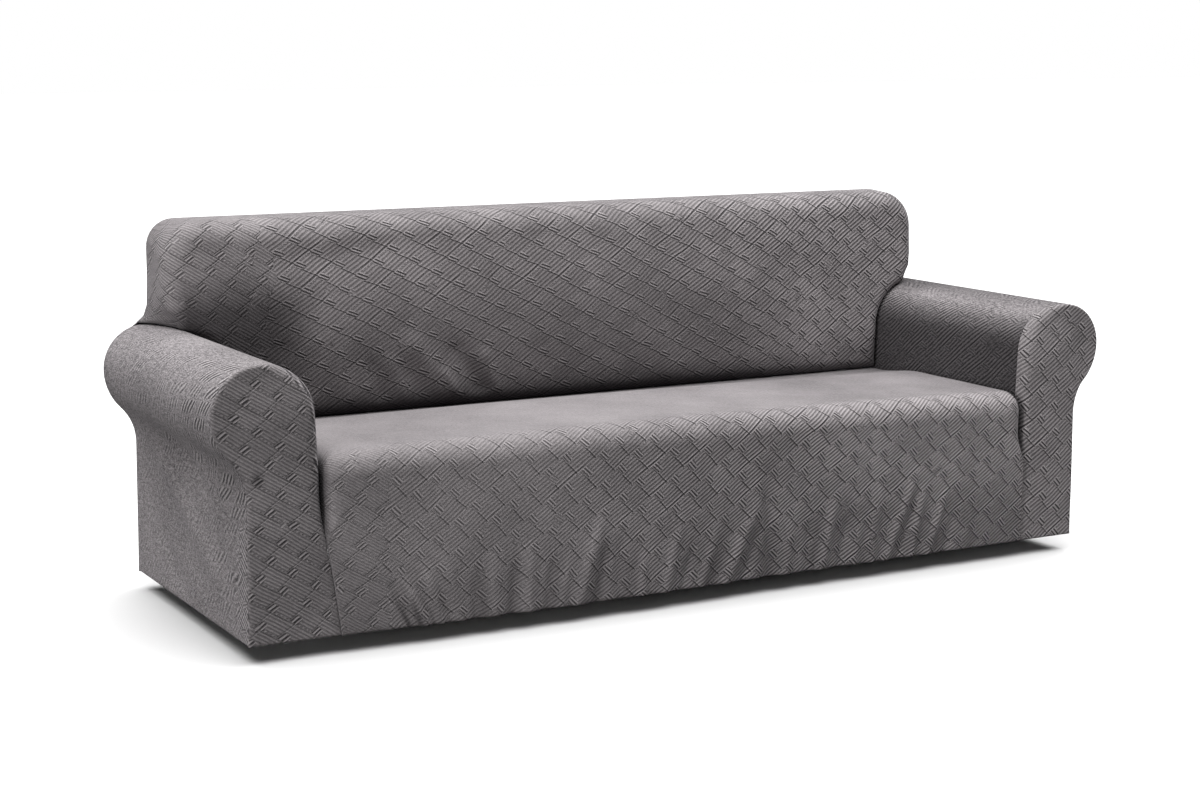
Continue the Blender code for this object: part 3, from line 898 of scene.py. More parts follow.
class Relief:
    """The shader groups that every panel's cloth shares."""

    def __init__(self, finish: ClothFinish, block: BlockShape, stroke: StrokeShape) -> None:
        """Build the groups once.

        Args:
            finish: the colours, tones and noises of the cloth.
            block: the layout of one block of the relief.
            stroke: the layout of one loose group of strokes.
        """
        self.finish = finish
        self.basket = self._basket_group(block)
        self.strokes = self._stroke_group(stroke)
        self.bloom = self._bloom_group()

    @staticmethod
    def _group(name: str, vectors: tuple, numbers: tuple, outputs: tuple) -> tuple:
        """Start a shader group.

        Args:
            name: the group's name.
            vectors: the names of its vector inputs.
            numbers: the names of its plain inputs.
            outputs: the names of its outputs.

        Returns:
            Its graph, its inputs by name and its output node.
        """
        tree = bpy.data.node_groups.new(name, "ShaderNodeTree")
        sockets = [(label, "INPUT", "NodeSocketVector") for label in vectors]
        sockets += [(label, "INPUT", "NodeSocketFloat") for label in numbers]
        sockets += [(label, "OUTPUT", "NodeSocketFloat") for label in outputs]
        for label, way, kind in sockets:
            tree.interface.new_socket(name=label, in_out=way, socket_type=kind)
        g = Graph(tree)
        return g, g.outputs(g.node("NodeGroupInput")), g.node("NodeGroupOutput")

    def _basket_group(self, block: BlockShape) -> bpy.types.NodeTree:
        """Blocks of fine ribs, a comb of short strokes beside each, and thin joints between the rows.

        Args:
            block: the layout of one block.

        Returns:
            The group, which gives a height and a tone.
        """
        numbers = ("Jog", "Bold", "Ribbed", "Uneven", "Joints", "Ribs")
        vectors = ("Place", "Along", "Across")
        g, given, out = self._group("basket_relief", vectors, numbers, ("Height", "Tone"))
        place = given["Place"]
        sway = g.noise(g.vector("ADD", place, block.sway_from), *block.sway_noise)
        across = g.count(place, given["Across"]) + g.spread(sway, -block.sway, block.sway)
        in_row = g.math("FRACT", across)
        wander = g.spread(g.noise(place, *block.wander_noise), -block.wander, block.wander)
        along = g.count(place, given["Along"]) + (wander - in_row * given["Jog"])
        in_block = g.math("FRACT", along)
        rib = g.wave(in_row, given["Ribs"])
        stroke = g.wave(in_block, given["Ribs"])

        bold = g.fall(in_block, *block.bold_end)
        reach = g.math("MULTIPLY_ADD", bold, block.bold_reach, block.least_reach)
        body_row = g.rise(in_row - reach, 0.0, block.row_edge)
        top_rib = g.rise(in_row, *block.top_rib)
        top_rib = top_rib * g.rise(g.noise(place, *block.top_rib_noise), *block.top_rib_chance)
        joint = g.fall(g.math("PINGPONG", along, 0.5), *block.joint) * given["Joints"]
        lip = g.rise(in_block, *block.lip_start) * g.fall(in_block, *block.lip_end) * given["Joints"]

        stroke_height = stroke * g.spread(bold, *block.stroke_heights)
        rib_height = rib * (block.rib_height + top_rib * block.top_rib_height)
        pillow = g.math("SINE", in_row * math.pi) * block.pillow
        height = g.mix(body_row, stroke_height, rib_height + pillow)

        off = g.chance(along, across) - 0.5
        lot = g.math("MULTIPLY_ADD", off * 2.0, given["Uneven"], 1.0)
        ribbed = given["Ribbed"] * lot * g.math("MULTIPLY_ADD", top_rib, block.top_rib_tone, block.rib_tone)
        stroke_tone = (stroke - 0.5) * g.mix(bold, block.faint_tone, given["Bold"])
        tone = g.mix(body_row, stroke_tone, (rib - 0.5) * ribbed + off * block.own_tone)
        g.feed(out, {
            "Height": height + lip * block.lip_height - joint * block.joint_height,
            "Tone": tone + lip * block.lip_tone - joint * block.joint_tone,
        })
        return g.tree

    def _stroke_group(self, shape: StrokeShape) -> bpy.types.NodeTree:
        """What shows of the basket where the cloth is stretched hard: short strokes in loose groups.

        Args:
            shape: the layout of one group.

        Returns:
            The group, which gives a height.
        """
        g, given, out = self._group("stretched_strokes", ("Place", "Along", "Across"), (), ("Height",))
        place = given["Place"]
        wander = g.spread(g.noise(place, *shape.wander_noise), -shape.wander, shape.wander)
        along = g.count(place, given["Along"]) + wander
        across = g.count(place, given["Across"])
        in_block, in_row = g.math("FRACT", along), g.math("FRACT", across)
        length = g.rise(in_row, *shape.stroke_start) * g.fall(in_row, *shape.stroke_end)
        strength = g.spread(g.chance(along, across), *shape.strengths)
        share = g.fall(in_block, *shape.group_end) * length * strength
        g.feed(out, {"Height": (g.wave(in_block, shape.count) * 2.0 - 1.0) * share})
        return g.tree

    def _bloom_group(self) -> bpy.types.NodeTree:
        """The velvety mottling of the yarn, and its fine knit.

        Returns:
            The group, which gives a broad cloud, a mottling and a knit.
        """
        g, given, out = self._group("yarn_bloom", ("Place", "Grain"), (), ("Cloud", "Mottle", "Knit"))
        grained = g.vector("MULTIPLY", given["Place"], given["Grain"])
        g.feed(out, {
            "Cloud": g.noise(given["Place"], *self.finish.cloud_noise),
            "Mottle": g.noise(grained, *self.finish.mottle_noise),
            "Knit": g.noise(grained, *self.finish.knit_noise),
        })
        return g.tree

    def _worked(self, g: Graph, place: Value, weave: Weave) -> tuple:
        """Lay the relief on one panel.

        Args:
            g: the graph of the panel's material.
            place: the place on the flat cloth.
            weave: the directions and the strength of the relief.

        Returns:
            How high it stands, and the tone that is drawn with it.
        """
        finish = self.finish
        ragged = g.spread(g.noise(place, *finish.ragged_noise), -finish.ragged, finish.ragged)
        turned = g.math("GREATER_THAN", g.attribute("turned") + ragged, 0.5)
        jog = g.attribute("jog") + weave.jog if weave.main is MAIN_LATTICE else weave.jog
        inputs = {
            "Place": place,
            "Jog": g.mix(turned, jog, finish.turned_jog),
            "Bold": g.mix(turned, weave.bold, finish.turned_bold),
            "Ribbed": weave.ribbed,
            "Uneven": weave.uneven,
            "Joints": weave.joints,
            "Ribs": weave.ribs,
        }
        for label, main, other in zip(("Along", "Across"), weave.main.counters(), weave.turned.counters()):
            inputs[label] = g.mix(turned, main, other, "VECTOR")
        basket = g.group(self.basket, inputs)
        relief = g.attribute("relief")
        height = (basket["Height"] - finish.middle_height) * relief
        tone = basket["Tone"] * relief * g.mix(turned, 1.0, finish.turned_share)
        if weave.strokes:
            along, across = weave.strokes.counters()
            stroke = g.group(self.strokes, {"Place": place, "Along": along, "Across": across})["Height"]
            share = g.attribute("strokes")
            height = g.math("MULTIPLY_ADD", stroke, share, height)
            tone = g.math("MULTIPLY_ADD", stroke, share * finish.stroke_tone, tone)
        return height, tone

    def cloth(self, name: str, weave: Weave) -> bpy.types.Material:
        """One panel's cloth.

        Args:
            name: the material's name.
            weave: the directions of the relief on the panel.

        Returns:
            The material.
        """
        finish = self.finish
        material = bpy.data.materials.new(name)
        material.use_nodes = True
        g = Graph(material.node_tree)
        place = g.add("UVMap", {}, "UV", uv_map="UVMap")
        bloom = g.group(self.bloom, {"Place": place, "Grain": weave.grain})
        height, drawn = self._worked(g, place, weave)
        height = g.math("MULTIPLY_ADD", bloom["Knit"], finish.knit_depth * weave.bloom, height)
        tone = g.math("MULTIPLY_ADD", bloom["Cloud"] - 0.5, finish.cloud_tone, finish.middle_tone)
        tone = g.math("MULTIPLY_ADD", bloom["Mottle"] - 0.5, finish.mottle_tone * weave.bloom, tone)
        tone = g.math("MULTIPLY_ADD", bloom["Knit"] - 0.5, finish.knit_tone * weave.bloom, tone)
        # Painted light and shade: the lift mask raises the tone, or lowers it where it is below zero.
        tone = g.math("MULTIPLY_ADD", drawn, finish.worked_tone, tone) + g.attribute("lift")
        tone = g.math("MINIMUM", g.math("MAXIMUM", tone, 0.0), 1.0)
        colour = g.mix(tone, finish.dark, finish.light, "RGBA")
        bump_inputs = {"Strength": 1.0, "Distance": finish.relief_depth, "Height": height}
        g.feed(material.node_tree.nodes["Principled BSDF"], {
            # Painted shade: where the shade mask is high, the colour is multiplied by the dark shade colour.
            "Base Color": g.mix(g.attribute("deep"), colour, finish.shaded, "RGBA", "MULTIPLY"),
            "Normal": g.add("Bump", bump_inputs, "Normal"),
            "Roughness": finish.roughness,
            "Specular IOR Level": finish.specular,
            "Sheen Weight": finish.sheen,
            "Sheen Roughness": finish.sheen_roughness,
            "Sheen Tint": finish.sheen_tint,
        })
        return material


# ---------------------------------------------------------------- panels

# What each sheet carries for its material, and the value where a panel says nothing else: how strongly
# the basket relief shows, where it runs the other way, where it is stretched out to loose strokes, how much
# painted shade darkens the cloth, how much further each row of blocks is shifted, and how much painted light
# lightens the cloth (painted shade where it is below zero).
MASKS = {"relief": 1.0, "turned": 0.0, "strokes": 0.0, "deep": 0.0, "jog": 0.0, "lift": 0.0}


@dataclass
class Panel:
    """One cut piece of the cover: a sheet of cloth that stands for one solid of the frame."""

    node: str
    flat: tuple
    area: float
    weave: Weave = Weave()

    def draw(self) -> SheetMesh:
        """The panel's outer side."""
        raise NotImplementedError

    def masks(self, x: Array, y: Array, z: Array) -> dict:
        """The masks that differ from MASKS somewhere on the panel.

        Args:
            x: how far to the right each point of the outer side is.
            y: how far behind the front of the arms it is.
            z: how far over the floor it is.

        Returns:
            The values by the mask's name, for each point or for all of them.
        """
        return {}

    def build(self, relief: Relief) -> bpy.types.Object:
        """Args:
            relief: the shared shader groups.

        Returns:
            The finished piece.
        """
        sheet = self.draw()
        points = np.array(sheet.points)
        mesh = bpy.data.meshes.new(self.node + "_sheet")
        mesh.from_pydata((points - ORIGIN).tolist(), [], sheet.faces)
        mesh.update()
        corner_points = np.empty(len(mesh.loops), np.int32)
        mesh.loops.foreach_get("vertex_index", corner_points)
        layer = mesh.uv_layers.new(name="UVMap")
        layer.data.foreach_set("uv", np.array(sheet.uvs, np.float32)[corner_points].ravel())
        masks = MASKS | self.masks(*points.T)
        for label, values in masks.items():
            attribute = mesh.attributes.new(label, "FLOAT", "POINT")
            attribute.data.foreach_set("value", np.full(len(points), values, np.float32))
        mesh.shade_smooth()
        piece = bpy.data.objects.new(self.node + "_sheet", mesh)
        bpy.context.scene.collection.objects.link(piece)
        bpy.ops.object.select_all(action="DESELECT")
        piece.select_set(True)
        bpy.context.view_layer.objects.active = piece
        wall = piece.modifiers.new("cloth", "SOLIDIFY")
        wall.thickness = SIZES.cloth
        wall.offset = -1.0
        bpy.ops.object.modifier_apply(modifier=wall.name)
        piece.data.materials.append(relief.cloth(self.node + "_cloth", self.weave))
        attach(piece, "root")
        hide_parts(self.node)
        LOG.info("%s: %d faces", piece.name, len(piece.data.polygons))
        return piece


@dataclass
class ArmFront(Panel):
    """The scroll-shaped facing of one arm."""

    side: Side = Side.RIGHT
    crown: float = 0.007
    crown_x: float = 1.015
    crown_half: float = 0.09
    columns: int = 30

    def draw(self) -> SheetMesh:
        """Draw the facing between its seam chain and its outer outline.

        Returns:
            The panel's outer side.
        """
        levels = np.linspace(SIZES.hem_z, SIZES.seam_top_z, 40)[:-1]
        seam = np.column_stack([SIZES.seam_x(self.side, levels), levels])
        count = int(length_of(SIZES.arm_outer()) / GRID)
        inner = resample(np.concatenate([seam, SIZES.arm_inner()[1:]]), count)
        outer = resample(SIZES.arm_outer()[::-1], count)
        right = self.side is Side.RIGHT
        left_chain, right_chain = (inner, outer) if right else (mirrored(outer), mirrored(inner))

        def surface(x: Array, z: Array) -> Array:
            """The face's y at each place.

            Args:
                x: how far to the right each point is.
                z: its level.

            Returns:
                Its y.
            """
            middle = 1.0 - ((np.abs(x) - self.crown_x) / self.crown_half) ** 2
            fade = smooth(z, SIZES.hem_z, 0.20) * fall(z, 0.50, 0.61)
            return -self.crown * np.clip(middle, 0.0, 1.0) * fade

        def roll_of(x: Array, z: Array) -> Array:
            """How deep the outline rolls back."""
            return np.where(z <= SIZES.hem_z, SIZES.hem_roll, SIZES.arm_edge_roll(np.abs(x), z))

        return Lid(left_chain, right_chain, self.columns, roll_of, surface, climb=lambda z: z).mesh()

    def masks(self, x: Array, y: Array, z: Array) -> dict:
        """Painted shade darkens the cloth in the tuck by the seat. The right facing shares the apron's
        relief.

        The left one has its ribs lying down and bold ribs across its rolled edge; painted shade darkens it a
        little all over, and more in the hollow under its scroll.

        Args:
            x: how far to the right each point of the outer side is.
            y: how far behind the front of the arms it is.
            z: how far over the floor it is.

        Returns:
            The values by the mask's name, for each point or for all of them.
        """
        x = np.abs(x)
        beside = fall(x - SIZES.seam_x(self.side, z), 0.002, 0.013)
        tuck_z = SIZES.tuck_end_z
        # Painted shade in the tuck beside the seam, from the tuck's end up to the seat.
        tuck = 0.80 * beside * smooth(z, tuck_z - 0.02, tuck_z + 0.05) * fall(z, 0.37, 0.42)
        if self.side is Side.RIGHT:
            return {"deep": tuck}
        over_seat = fall(x, 0.99, 1.03) * smooth(z, 0.36, 0.42)
        outer = smooth(x, 1.03, 1.06) * fall(z, 0.36, 0.42)
        # Painted shade in the hollow under the scroll.
        hollow = bump(x, 1.062, 0.014) * bump(z, 0.392, 0.022)
        return {
            "turned": 1.0,
            "strokes": 1.3 * smooth(y, -0.001, 0.004) * np.maximum(over_seat, 0.8 * outer),
            # Painted shade: the whole left facing a little darker, more in the hollow and the tuck.
            "deep": np.maximum.reduce([np.full(len(z), 0.13), 0.60 * hollow, tuck]),
        }


@dataclass
class ArmWrap(Panel):
    """The wrap of one arm, from the seat over the roll and down the outer side to the hem."""

    side: Side = Side.RIGHT

    def draw(self) -> SheetMesh:
        """Sweep the arm's section from the facing to the back and the rear seam.

        Returns:
            The panel's outer side.
        """
        inner, outer = SIZES.arm_inner(), SIZES.arm_outer()
        outer[-1][1] = SIZES.hem_z + SIZES.hem_roll
        hem = (outer[-1][0] - SIZES.hem_roll, outer[-1][1])
        section = np.concatenate([inner, outer])
        section = resample(section, int(length_of(section) / GRID))
        section = np.concatenate([section, arc(hem, SIZES.hem_roll, 0, -90, 3)])
        x, z = section[:, 0], section[:, 1]
        front_y = SIZES.arm_edge_roll(x, z) + SIZES.seam_land + SIZES.seam_gap
        tucked_y = SIZES.back_face_y(z) + SIZES.back_foot_roll + SIZES.back_tuck
        rear_y = np.where(x < 1.0, tucked_y, SIZES.rear_seam_y - SIZES.seam_gap)
        share = np.linspace(0, 1, int(SIZES.rear_seam_y / GRID))
        y = front_y[:, None] + (rear_y - front_y)[:, None] * share
        on_side = smooth(x, 1.06, 1.08) * fall(z, 0.40, 0.46) * smooth(z, SIZES.hem_z, 0.10)
        lift = fold_height(ARM_FOLDS, y, z[:, None]) * on_side[:, None] * np.sin(np.pi * share)
        height = np.broadcast_to(z[:, None], y.shape)
        points = np.stack([self.side.value * (x[:, None] + lift), y, height], axis=-1)
        uvs = np.stack([y, np.broadcast_to(run_along(section)[:, None], y.shape)], axis=-1)
        sheet = SheetMesh()
        sheet.grid(points, uvs, flip=self.side is Side.RIGHT)
        return sheet

    def masks(self, x: Array, y: Array, z: Array) -> dict:
        """The relief is strong on the inner side and by the facing, and strokes take its place elsewhere.

        Painted shade darkens the inner side down to the seat, and the right arm's crown towards the back.

        Args:
            x: how far to the right each point of the outer side is.
            y: how far behind the front of the arms it is.
            z: how far over the floor it is.

        Returns:
            The values by the mask's name, for each point or for all of them.
        """
        x = np.abs(x)
        inner = 0.9 * fall(x, 0.94, 0.985) * (1.0 + 0.5 * fall(y, 0.03, 0.10))
        edge = 0.8 * fall(y, 0.030, 0.075) * fall(z, 0.40, 0.50)
        # Painted shade on the right arm's crown, growing towards the back.
        crown = 0.38 + 0.27 * smooth(y, 0.20, 0.50) if self.side is Side.RIGHT else 0.0
        # Painted shade over the inner side down to the seat.
        shaded = 0.86 * fall(z, 0.53, 0.625) * fall(x, 0.95, 0.990)
        to_front = 0.30 + 0.70 * fall(y, 0.05, 0.35) * smooth(x, 1.02, 1.08)
        return {
            "relief": np.clip(0.04 + inner + edge, 0.0, 1.4),
            "deep": np.maximum(shaded, crown * smooth(z, 0.60, 0.63)),
            "strokes": smooth(x, 0.97, 1.01) * to_front * (0.45 + 0.55 * smooth(z, 0.28, 0.42)),
        }


@dataclass
class InsideBack(Panel):
    """The back's front face, its rounded top and its end returns, cut round both arms."""

    wing_radius: float = 0.070
    wing_turns: tuple = (-50.0, -25.0, 0.0)
    columns: int = 240

    def outline(self) -> Array:
        """The right-hand chain of the face, with the rear seam that each of its points leads to.

        Returns:
            Rows of (x, z, rear x, rear z, share on the strip) from the foot to the top.
        """
        inner = SIZES.arm_inner()[:-4]
        rise = inner[inner[:, 1] > SIZES.junction_z + SIZES.back_foot_roll]
        step = np.gradient(rise, axis=0)
        away = np.stack([-step[:, 1], step[:, 0]], axis=1) / np.linalg.norm(step, axis=1, keepdims=True)
        rise = rise + away * SIZES.tuck_gap
        wing = (SIZES.back_end_x - self.wing_radius, self.wing_foot_z() + self.wing_radius)
        turns = np.radians(self.wing_turns)
        corner = (SIZES.back_end_x - SIZES.back_corner, SIZES.back_top_z - SIZES.back_corner)
        foot = (SIZES.arm_inner_x - SIZES.tuck_gap, SIZES.junction_z + SIZES.tuck_gap)
        within = np.concatenate([[foot], rise[:-1]])
        leading = np.concatenate(
            [
                rise[-1:],
                np.column_stack([np.cos(turns), np.sin(turns)]) * self.wing_radius + wing,
                [(SIZES.back_end_x, SIZES.back_side_z), (SIZES.back_end_x, corner[1])],
                arc(corner, SIZES.back_corner, 0, 90, 20),
            ]
        )
        within = np.column_stack([within, within, np.zeros(len(within))])
        leading = np.column_stack([leading, SIZES.rear_outline(), np.ones(len(leading))])
        return np.concatenate([within, leading])

    @staticmethod
    def wing_foot_z() -> float:
        """The level of the wings' feet, just over the arms."""
        return SIZES.arm_top_z + 2.0 * SIZES.tuck_gap

    def draw(self) -> SheetMesh:
        """Draw the face, its roll and the strip back to the rear seam.

        Returns:
            The panel's outer side.
        """
        chain = self.outline()
        chain = resample(chain, int(length_of(chain[:, :2]) / GRID))
        right, rear_right = chain[:, :2], chain[:, 2:4]
        wing_foot_z = self.wing_foot_z()
        levels = np.linspace(SIZES.junction_z, SIZES.back_top_z, 200)
        slant = np.hypot(np.gradient(SIZES.back_face_y(levels), levels), 1.0)
        climbed = np.concatenate([[0.0], np.cumsum(0.5 * (slant[1:] + slant[:-1]) * np.diff(levels))])

        def surface(x: Array, z: Array) -> Array:
            """The face's y at each place."""
            fade = fall(np.abs(x), 0.86, 0.98) * smooth(z, 0.40, 0.44) * fall(z, 0.79, 0.85)
            return SIZES.back_face_y(z, x) - fold_height(BACK_FOLDS, x, z) * fade

        def roll_of(x: Array, z: Array) -> Array:
            """How deep the outline rolls back."""
            rise = smooth(z, wing_foot_z, wing_foot_z + self.wing_radius)
            return SIZES.back_foot_roll + (SIZES.back_edge_roll - SIZES.back_foot_roll) * rise

        def strip(loop: Array) -> tuple:
            """Where the strip is on, and the rear seam that it leads to.

            Args:
                loop: the outline's (x, z) points.

            Returns:
                Which of them take part, and where each of them leads to.
            """
            on = loop[:, 1] > SIZES.back_top_z - TOUCHING
            rear = loop.copy()
            for place, target, led in zip(right, rear_right, chain[:, 4]):
                same = np.hypot(np.abs(loop[:, 0]) - place[0], loop[:, 1] - place[1]) < TOUCHING
                on |= same & (led > 0.999)
                rear[same] = target
                rear[same, 0] *= np.sign(loop[same, 0])
            return on, rear

        lid = Lid(mirrored(right), right, self.columns, roll_of, surface, evenness=1.0, strip=strip,
                  climb=lambda z: np.interp(z, levels, climbed), roll_steps=9)
        return lid.mesh()

    def masks(self, x: Array, y: Array, z: Array) -> dict:
        """Painted shade darkens the face down to the seat and towards the arms, and painted light makes it
        lighter towards both ends.

        The relief is sharper towards the top and the right-hand end, where its joints turn steeper. The ribs
        lie down on the left end.

        Args:
            x: how far to the right each point of the outer side is.
            y: how far behind the front of the arms it is.
            z: how far over the floor it is.

        Returns:
            The values by the mask's name, for each point or for all of them.
        """
        # Painted shade: darker down to the seat, over the left arm at the left end, and in the right-hand
        # corner by the arm.
        foot = 0.80 * fall(z, 0.39, 0.50) ** 2 + 0.26 * fall(z, 0.58, 0.76) * fall(x, 0.45, 0.75)
        side = 0.80 * fall(z, 0.64, 0.78) * fall(x, -0.82, -0.60) * smooth(x, -1.045, -0.995)
        corner = 0.55 * fall(z, 0.41, 0.54) * smooth(x, 0.66, 0.86)
        # Painted light: lighter on the upper left end and over the right half.
        left_end = 0.10 * smooth(z, 0.62, 0.70) * fall(x, -0.80, -0.55)
        return {
            "deep": np.maximum.reduce([foot, side, corner]),
            "lift": left_end + 0.10 * smooth(x, 0.30, 0.60),
            "jog": -0.32 * smooth(x, 0.35, 0.80),
            "relief": (0.85 + 0.30 * smooth(z, 0.55, 0.80)) * (1.0 + 0.55 * smooth(x, 0.10, 0.75)),
            "turned": fall(x, -0.85, -0.77),
        }


@dataclass
class OutsideBack(Panel):
    """The plain rear panel, from the hem to the top, with the arms' outline."""

    roll: float = 0.008
    columns: int = 90

    def draw(self) -> SheetMesh:
        """Draw the rear face and its rolled outline.

        Returns:
            The panel's outer side.
        """
        arm = SIZES.arm_outer()[::-1]
        rear = SIZES.rear_outline()[1:]
        chain = np.concatenate([arm[arm[:, 0] > rear[0][0]], rear])
        right = resample(chain, int(length_of(chain) / (1.6 * GRID)))
        depth = SIZES.rear_seam_y + SIZES.seam_land + self.roll
        lid = Lid(mirrored(right), right, self.columns, lambda x, z: np.full_like(x, self.roll),
                  lambda x, z: np.full_like(x, depth), climb=lambda z: z, facing=1, evenness=0.9,
                  roll_steps=4)
        return lid.mesh()

    def masks(self, x: Array, y: Array, z: Array) -> dict:
        """The relief is a little flatter where the cloth is stretched plain."""
        return {"relief": 0.8}


@dataclass
class SeatFront(Panel):
    """Seat deck and apron in one length, with a rolled tuck down each end."""

    top_z: float = 0.424
    crown: float = 0.010
    tilt: float = 0.007
    nose: float = 0.050
    front_end_y: float = -0.012
    front_bow: float = 0.018
    end_roll: float = 0.040
    rear_roll: float = 0.006
    seam_allowance: float = 0.010
    rear_y: float = 0.632
    apron_hem_y: float = -0.004
    hem_bow: float = 0.017
    bow_x: float = -0.30
    bow_width: float = 0.40
    column_step: float = 0.0055

    def section(self, x: float) -> Array:
        """Draw the seat and the apron at one place across, before their folds.

        Args:
            x: the place across.

        Returns:
            Rows of (y, z, inward y, inward z) from the seat's rear to the hem.
        """
        across = 1.0 - (x / SIZES.arm_inner_x) ** 2
        top_z = self.top_z + self.crown * across - self.tilt * x / SIZES.arm_inner_x
        front_y = self.front_end_y - self.front_bow * across
        hem_y = self.apron_hem_y - self.hem_bow * math.exp(-(((x - self.bow_x) / self.bow_width) ** 2))
        deck_y = np.linspace(self.rear_y, front_y + self.nose, 48)[:-1]
        rise = fall(deck_y, SIZES.junction_y - SIZES.deck_dip, SIZES.junction_y - 0.005)
        deck_z = SIZES.junction_z + (top_z - SIZES.junction_z) * rise
        deck = np.column_stack([deck_y, deck_z, np.zeros(47), -np.ones(47)])
        turn = np.radians(np.linspace(90.0, 180.0, 11))
        nose_z = top_z - self.nose
        nose = np.column_stack(
            [
                front_y + self.nose * (1.0 + np.cos(turn)),
                nose_z + self.nose * np.sin(turn),
                -np.cos(turn),
                -np.sin(turn),
            ]
        )
        apron_z = np.linspace(nose_z, SIZES.hem_z + SIZES.hem_roll, 42)[1:]
        down = (nose_z - apron_z) / (nose_z - SIZES.hem_z)
        apron = np.column_stack([front_y + (hem_y - front_y) * down, apron_z, np.ones(41), np.zeros(41)])
        hem_centre = (apron[-1, 0] + SIZES.hem_roll, SIZES.hem_z + SIZES.hem_roll)
        hem_arc = arc(hem_centre, SIZES.hem_roll, 180, 270, 3)
        hem = np.column_stack([hem_arc, np.ones(3), np.zeros(3)])
        return np.concatenate([deck, nose, apron, hem])

    def apron_lift(self, x: Array, z: Array) -> Array:
        """How far the folds of the apron stand out at each place.

        Args:
            x: how far to the right each point is.
            z: its level.

        Returns:
            The lift in metres.
        """
        total = np.zeros_like(x)
        for fold in APRON_FOLDS:
            total += fold.profile(x, z) * fall(z, 0.75 * (fold.top_z - SIZES.hem_z), fold.top_z)
        return total

    def end_rolls(self, y: Array, z: Array) -> Array:
        """How far the seat's ends roll in: most at the front corners, and little at the rear and the hem.

        Args:
            y: the depth of each point of the section.
            z: its level.

        Returns:
            The radius at each point.
        """
        low = smooth(z, SIZES.tuck_end_z - 0.005, SIZES.tuck_end_z + 0.075)
        high = fall(y, 0.33, SIZES.junction_y)
        below = SIZES.seam_roll + (self.end_roll - SIZES.seam_roll) * low
        above = self.rear_roll + (self.end_roll - self.rear_roll) * high
        return np.where((z < SIZES.seam_top_z) & (y < self.nose), below, above)

    def draw(self) -> SheetMesh:
        """Sweep the section across the seat, and roll both ends in.

        Returns:
            The panel's outer side.
        """
        half = SIZES.arm_inner_x - self.end_roll
        rolls = [(math.cos(a), math.sin(a)) for a in np.radians(np.linspace(0.0, 80.0, 7))]
        shares = np.linspace(-1.0, 1.0, int(2.0 * half / self.column_step))
        columns = [(-1.0, 1.0, 0.0, 1.0)] + [(-1.0, out, up, 0.0) for out, up in rolls]
        columns += [(share, 0.0, 1.0, 0.0) for share in shares]
        columns += [(1.0, out, up, 0.0) for out, up in rolls[::-1]] + [(1.0, 1.0, 0.0, 1.0)]
        points, uvs = [], []
        for share, out, up, under in columns:
            side = Side.RIGHT if share > 0 else Side.LEFT
            y, z, in_y, in_z = self.section(share * half).T
            roll = self.end_rolls(y, z)
            drop = roll * (1.0 - up) + self.seam_allowance * under
            limit = SIZES.seam_x(side, z + in_z * roll) - SIZES.tuck_gap
            x = share * (limit - roll) + side.value * roll * out
            climbed = run_along(np.column_stack([y, z]))
            spread = side.value * (roll * (math.atan2(out, up) if out else 0.0) + self.seam_allowance * under)
            uvs.append(np.column_stack([share * (limit - roll) + spread, climbed[-1] - climbed]))
            y = y - np.where((z < SIZES.seam_top_z) & (y < self.nose), self.apron_lift(x, z), 0.0)
            points.append(np.column_stack([x, y + in_y * drop, z + in_z * drop]))
        sheet = SheetMesh()
        sheet.grid(np.array(points), np.array(uvs))
        return sheet

    def masks(self, x: Array, y: Array, z: Array) -> dict:
        """Painted shade darkens the cloth in the tucks at both ends of the apron, towards its hem and down
        its low creases.

        The relief is full on the apron and the nose, and nearly gone on the velvety deck. Painted light makes
        the upper right of the apron lighter, and painted shade makes the deck's ends darker. The ribs lie
        down on the apron's left end.

        Args:
            x: how far to the right each point of the outer side is.
            y: how far behind the front of the arms it is.
            z: how far over the floor it is.

        Returns:
            The values by the mask's name, for each point or for all of them.
        """
        # Painted shade in the tucks by the arm fronts, towards the hem and down the low creases.
        tucks, tuck_z = np.zeros(len(x)), SIZES.tuck_end_z
        for side in Side:
            beside = fall(SIZES.seam_x(side, z) - side.value * x, 0.001, 0.016)
            tucks += beside * smooth(z, tuck_z - 0.03, tuck_z + 0.06) * fall(y, 0.04, 0.10)
        low = 0.16 * fall(z, 0.05, 0.24)
        for crease in HEM_CREASE_SHADE:
            low += crease.profile(x, z) * fall(z, 0.4 * crease.top_z, crease.top_z)
        apron = fall(y, 0.0, 0.04)
        # Painted light on the upper right of the apron, and painted shade on the deck's ends.
        upper = 0.20 * smooth(x, 0.00, 0.45) * smooth(z, 0.15, 0.28) * apron
        return {
            "deep": np.clip(np.maximum(0.9 * tucks, np.where(y < 0.02, low, 0.0)), 0.0, 1.0),
            "relief": (0.16 + 0.84 * fall(y, -0.012, 0.065)) * (0.60 + 0.85 * smooth(x, -0.60, 0.40)),
            "lift": upper - 0.08 * (1.0 - apron) * smooth(np.abs(x + 0.1), 0.25, 0.55),
            "turned": fall(x, -0.82, -0.74),
        }


# ---------------------------------------------------------------- studio


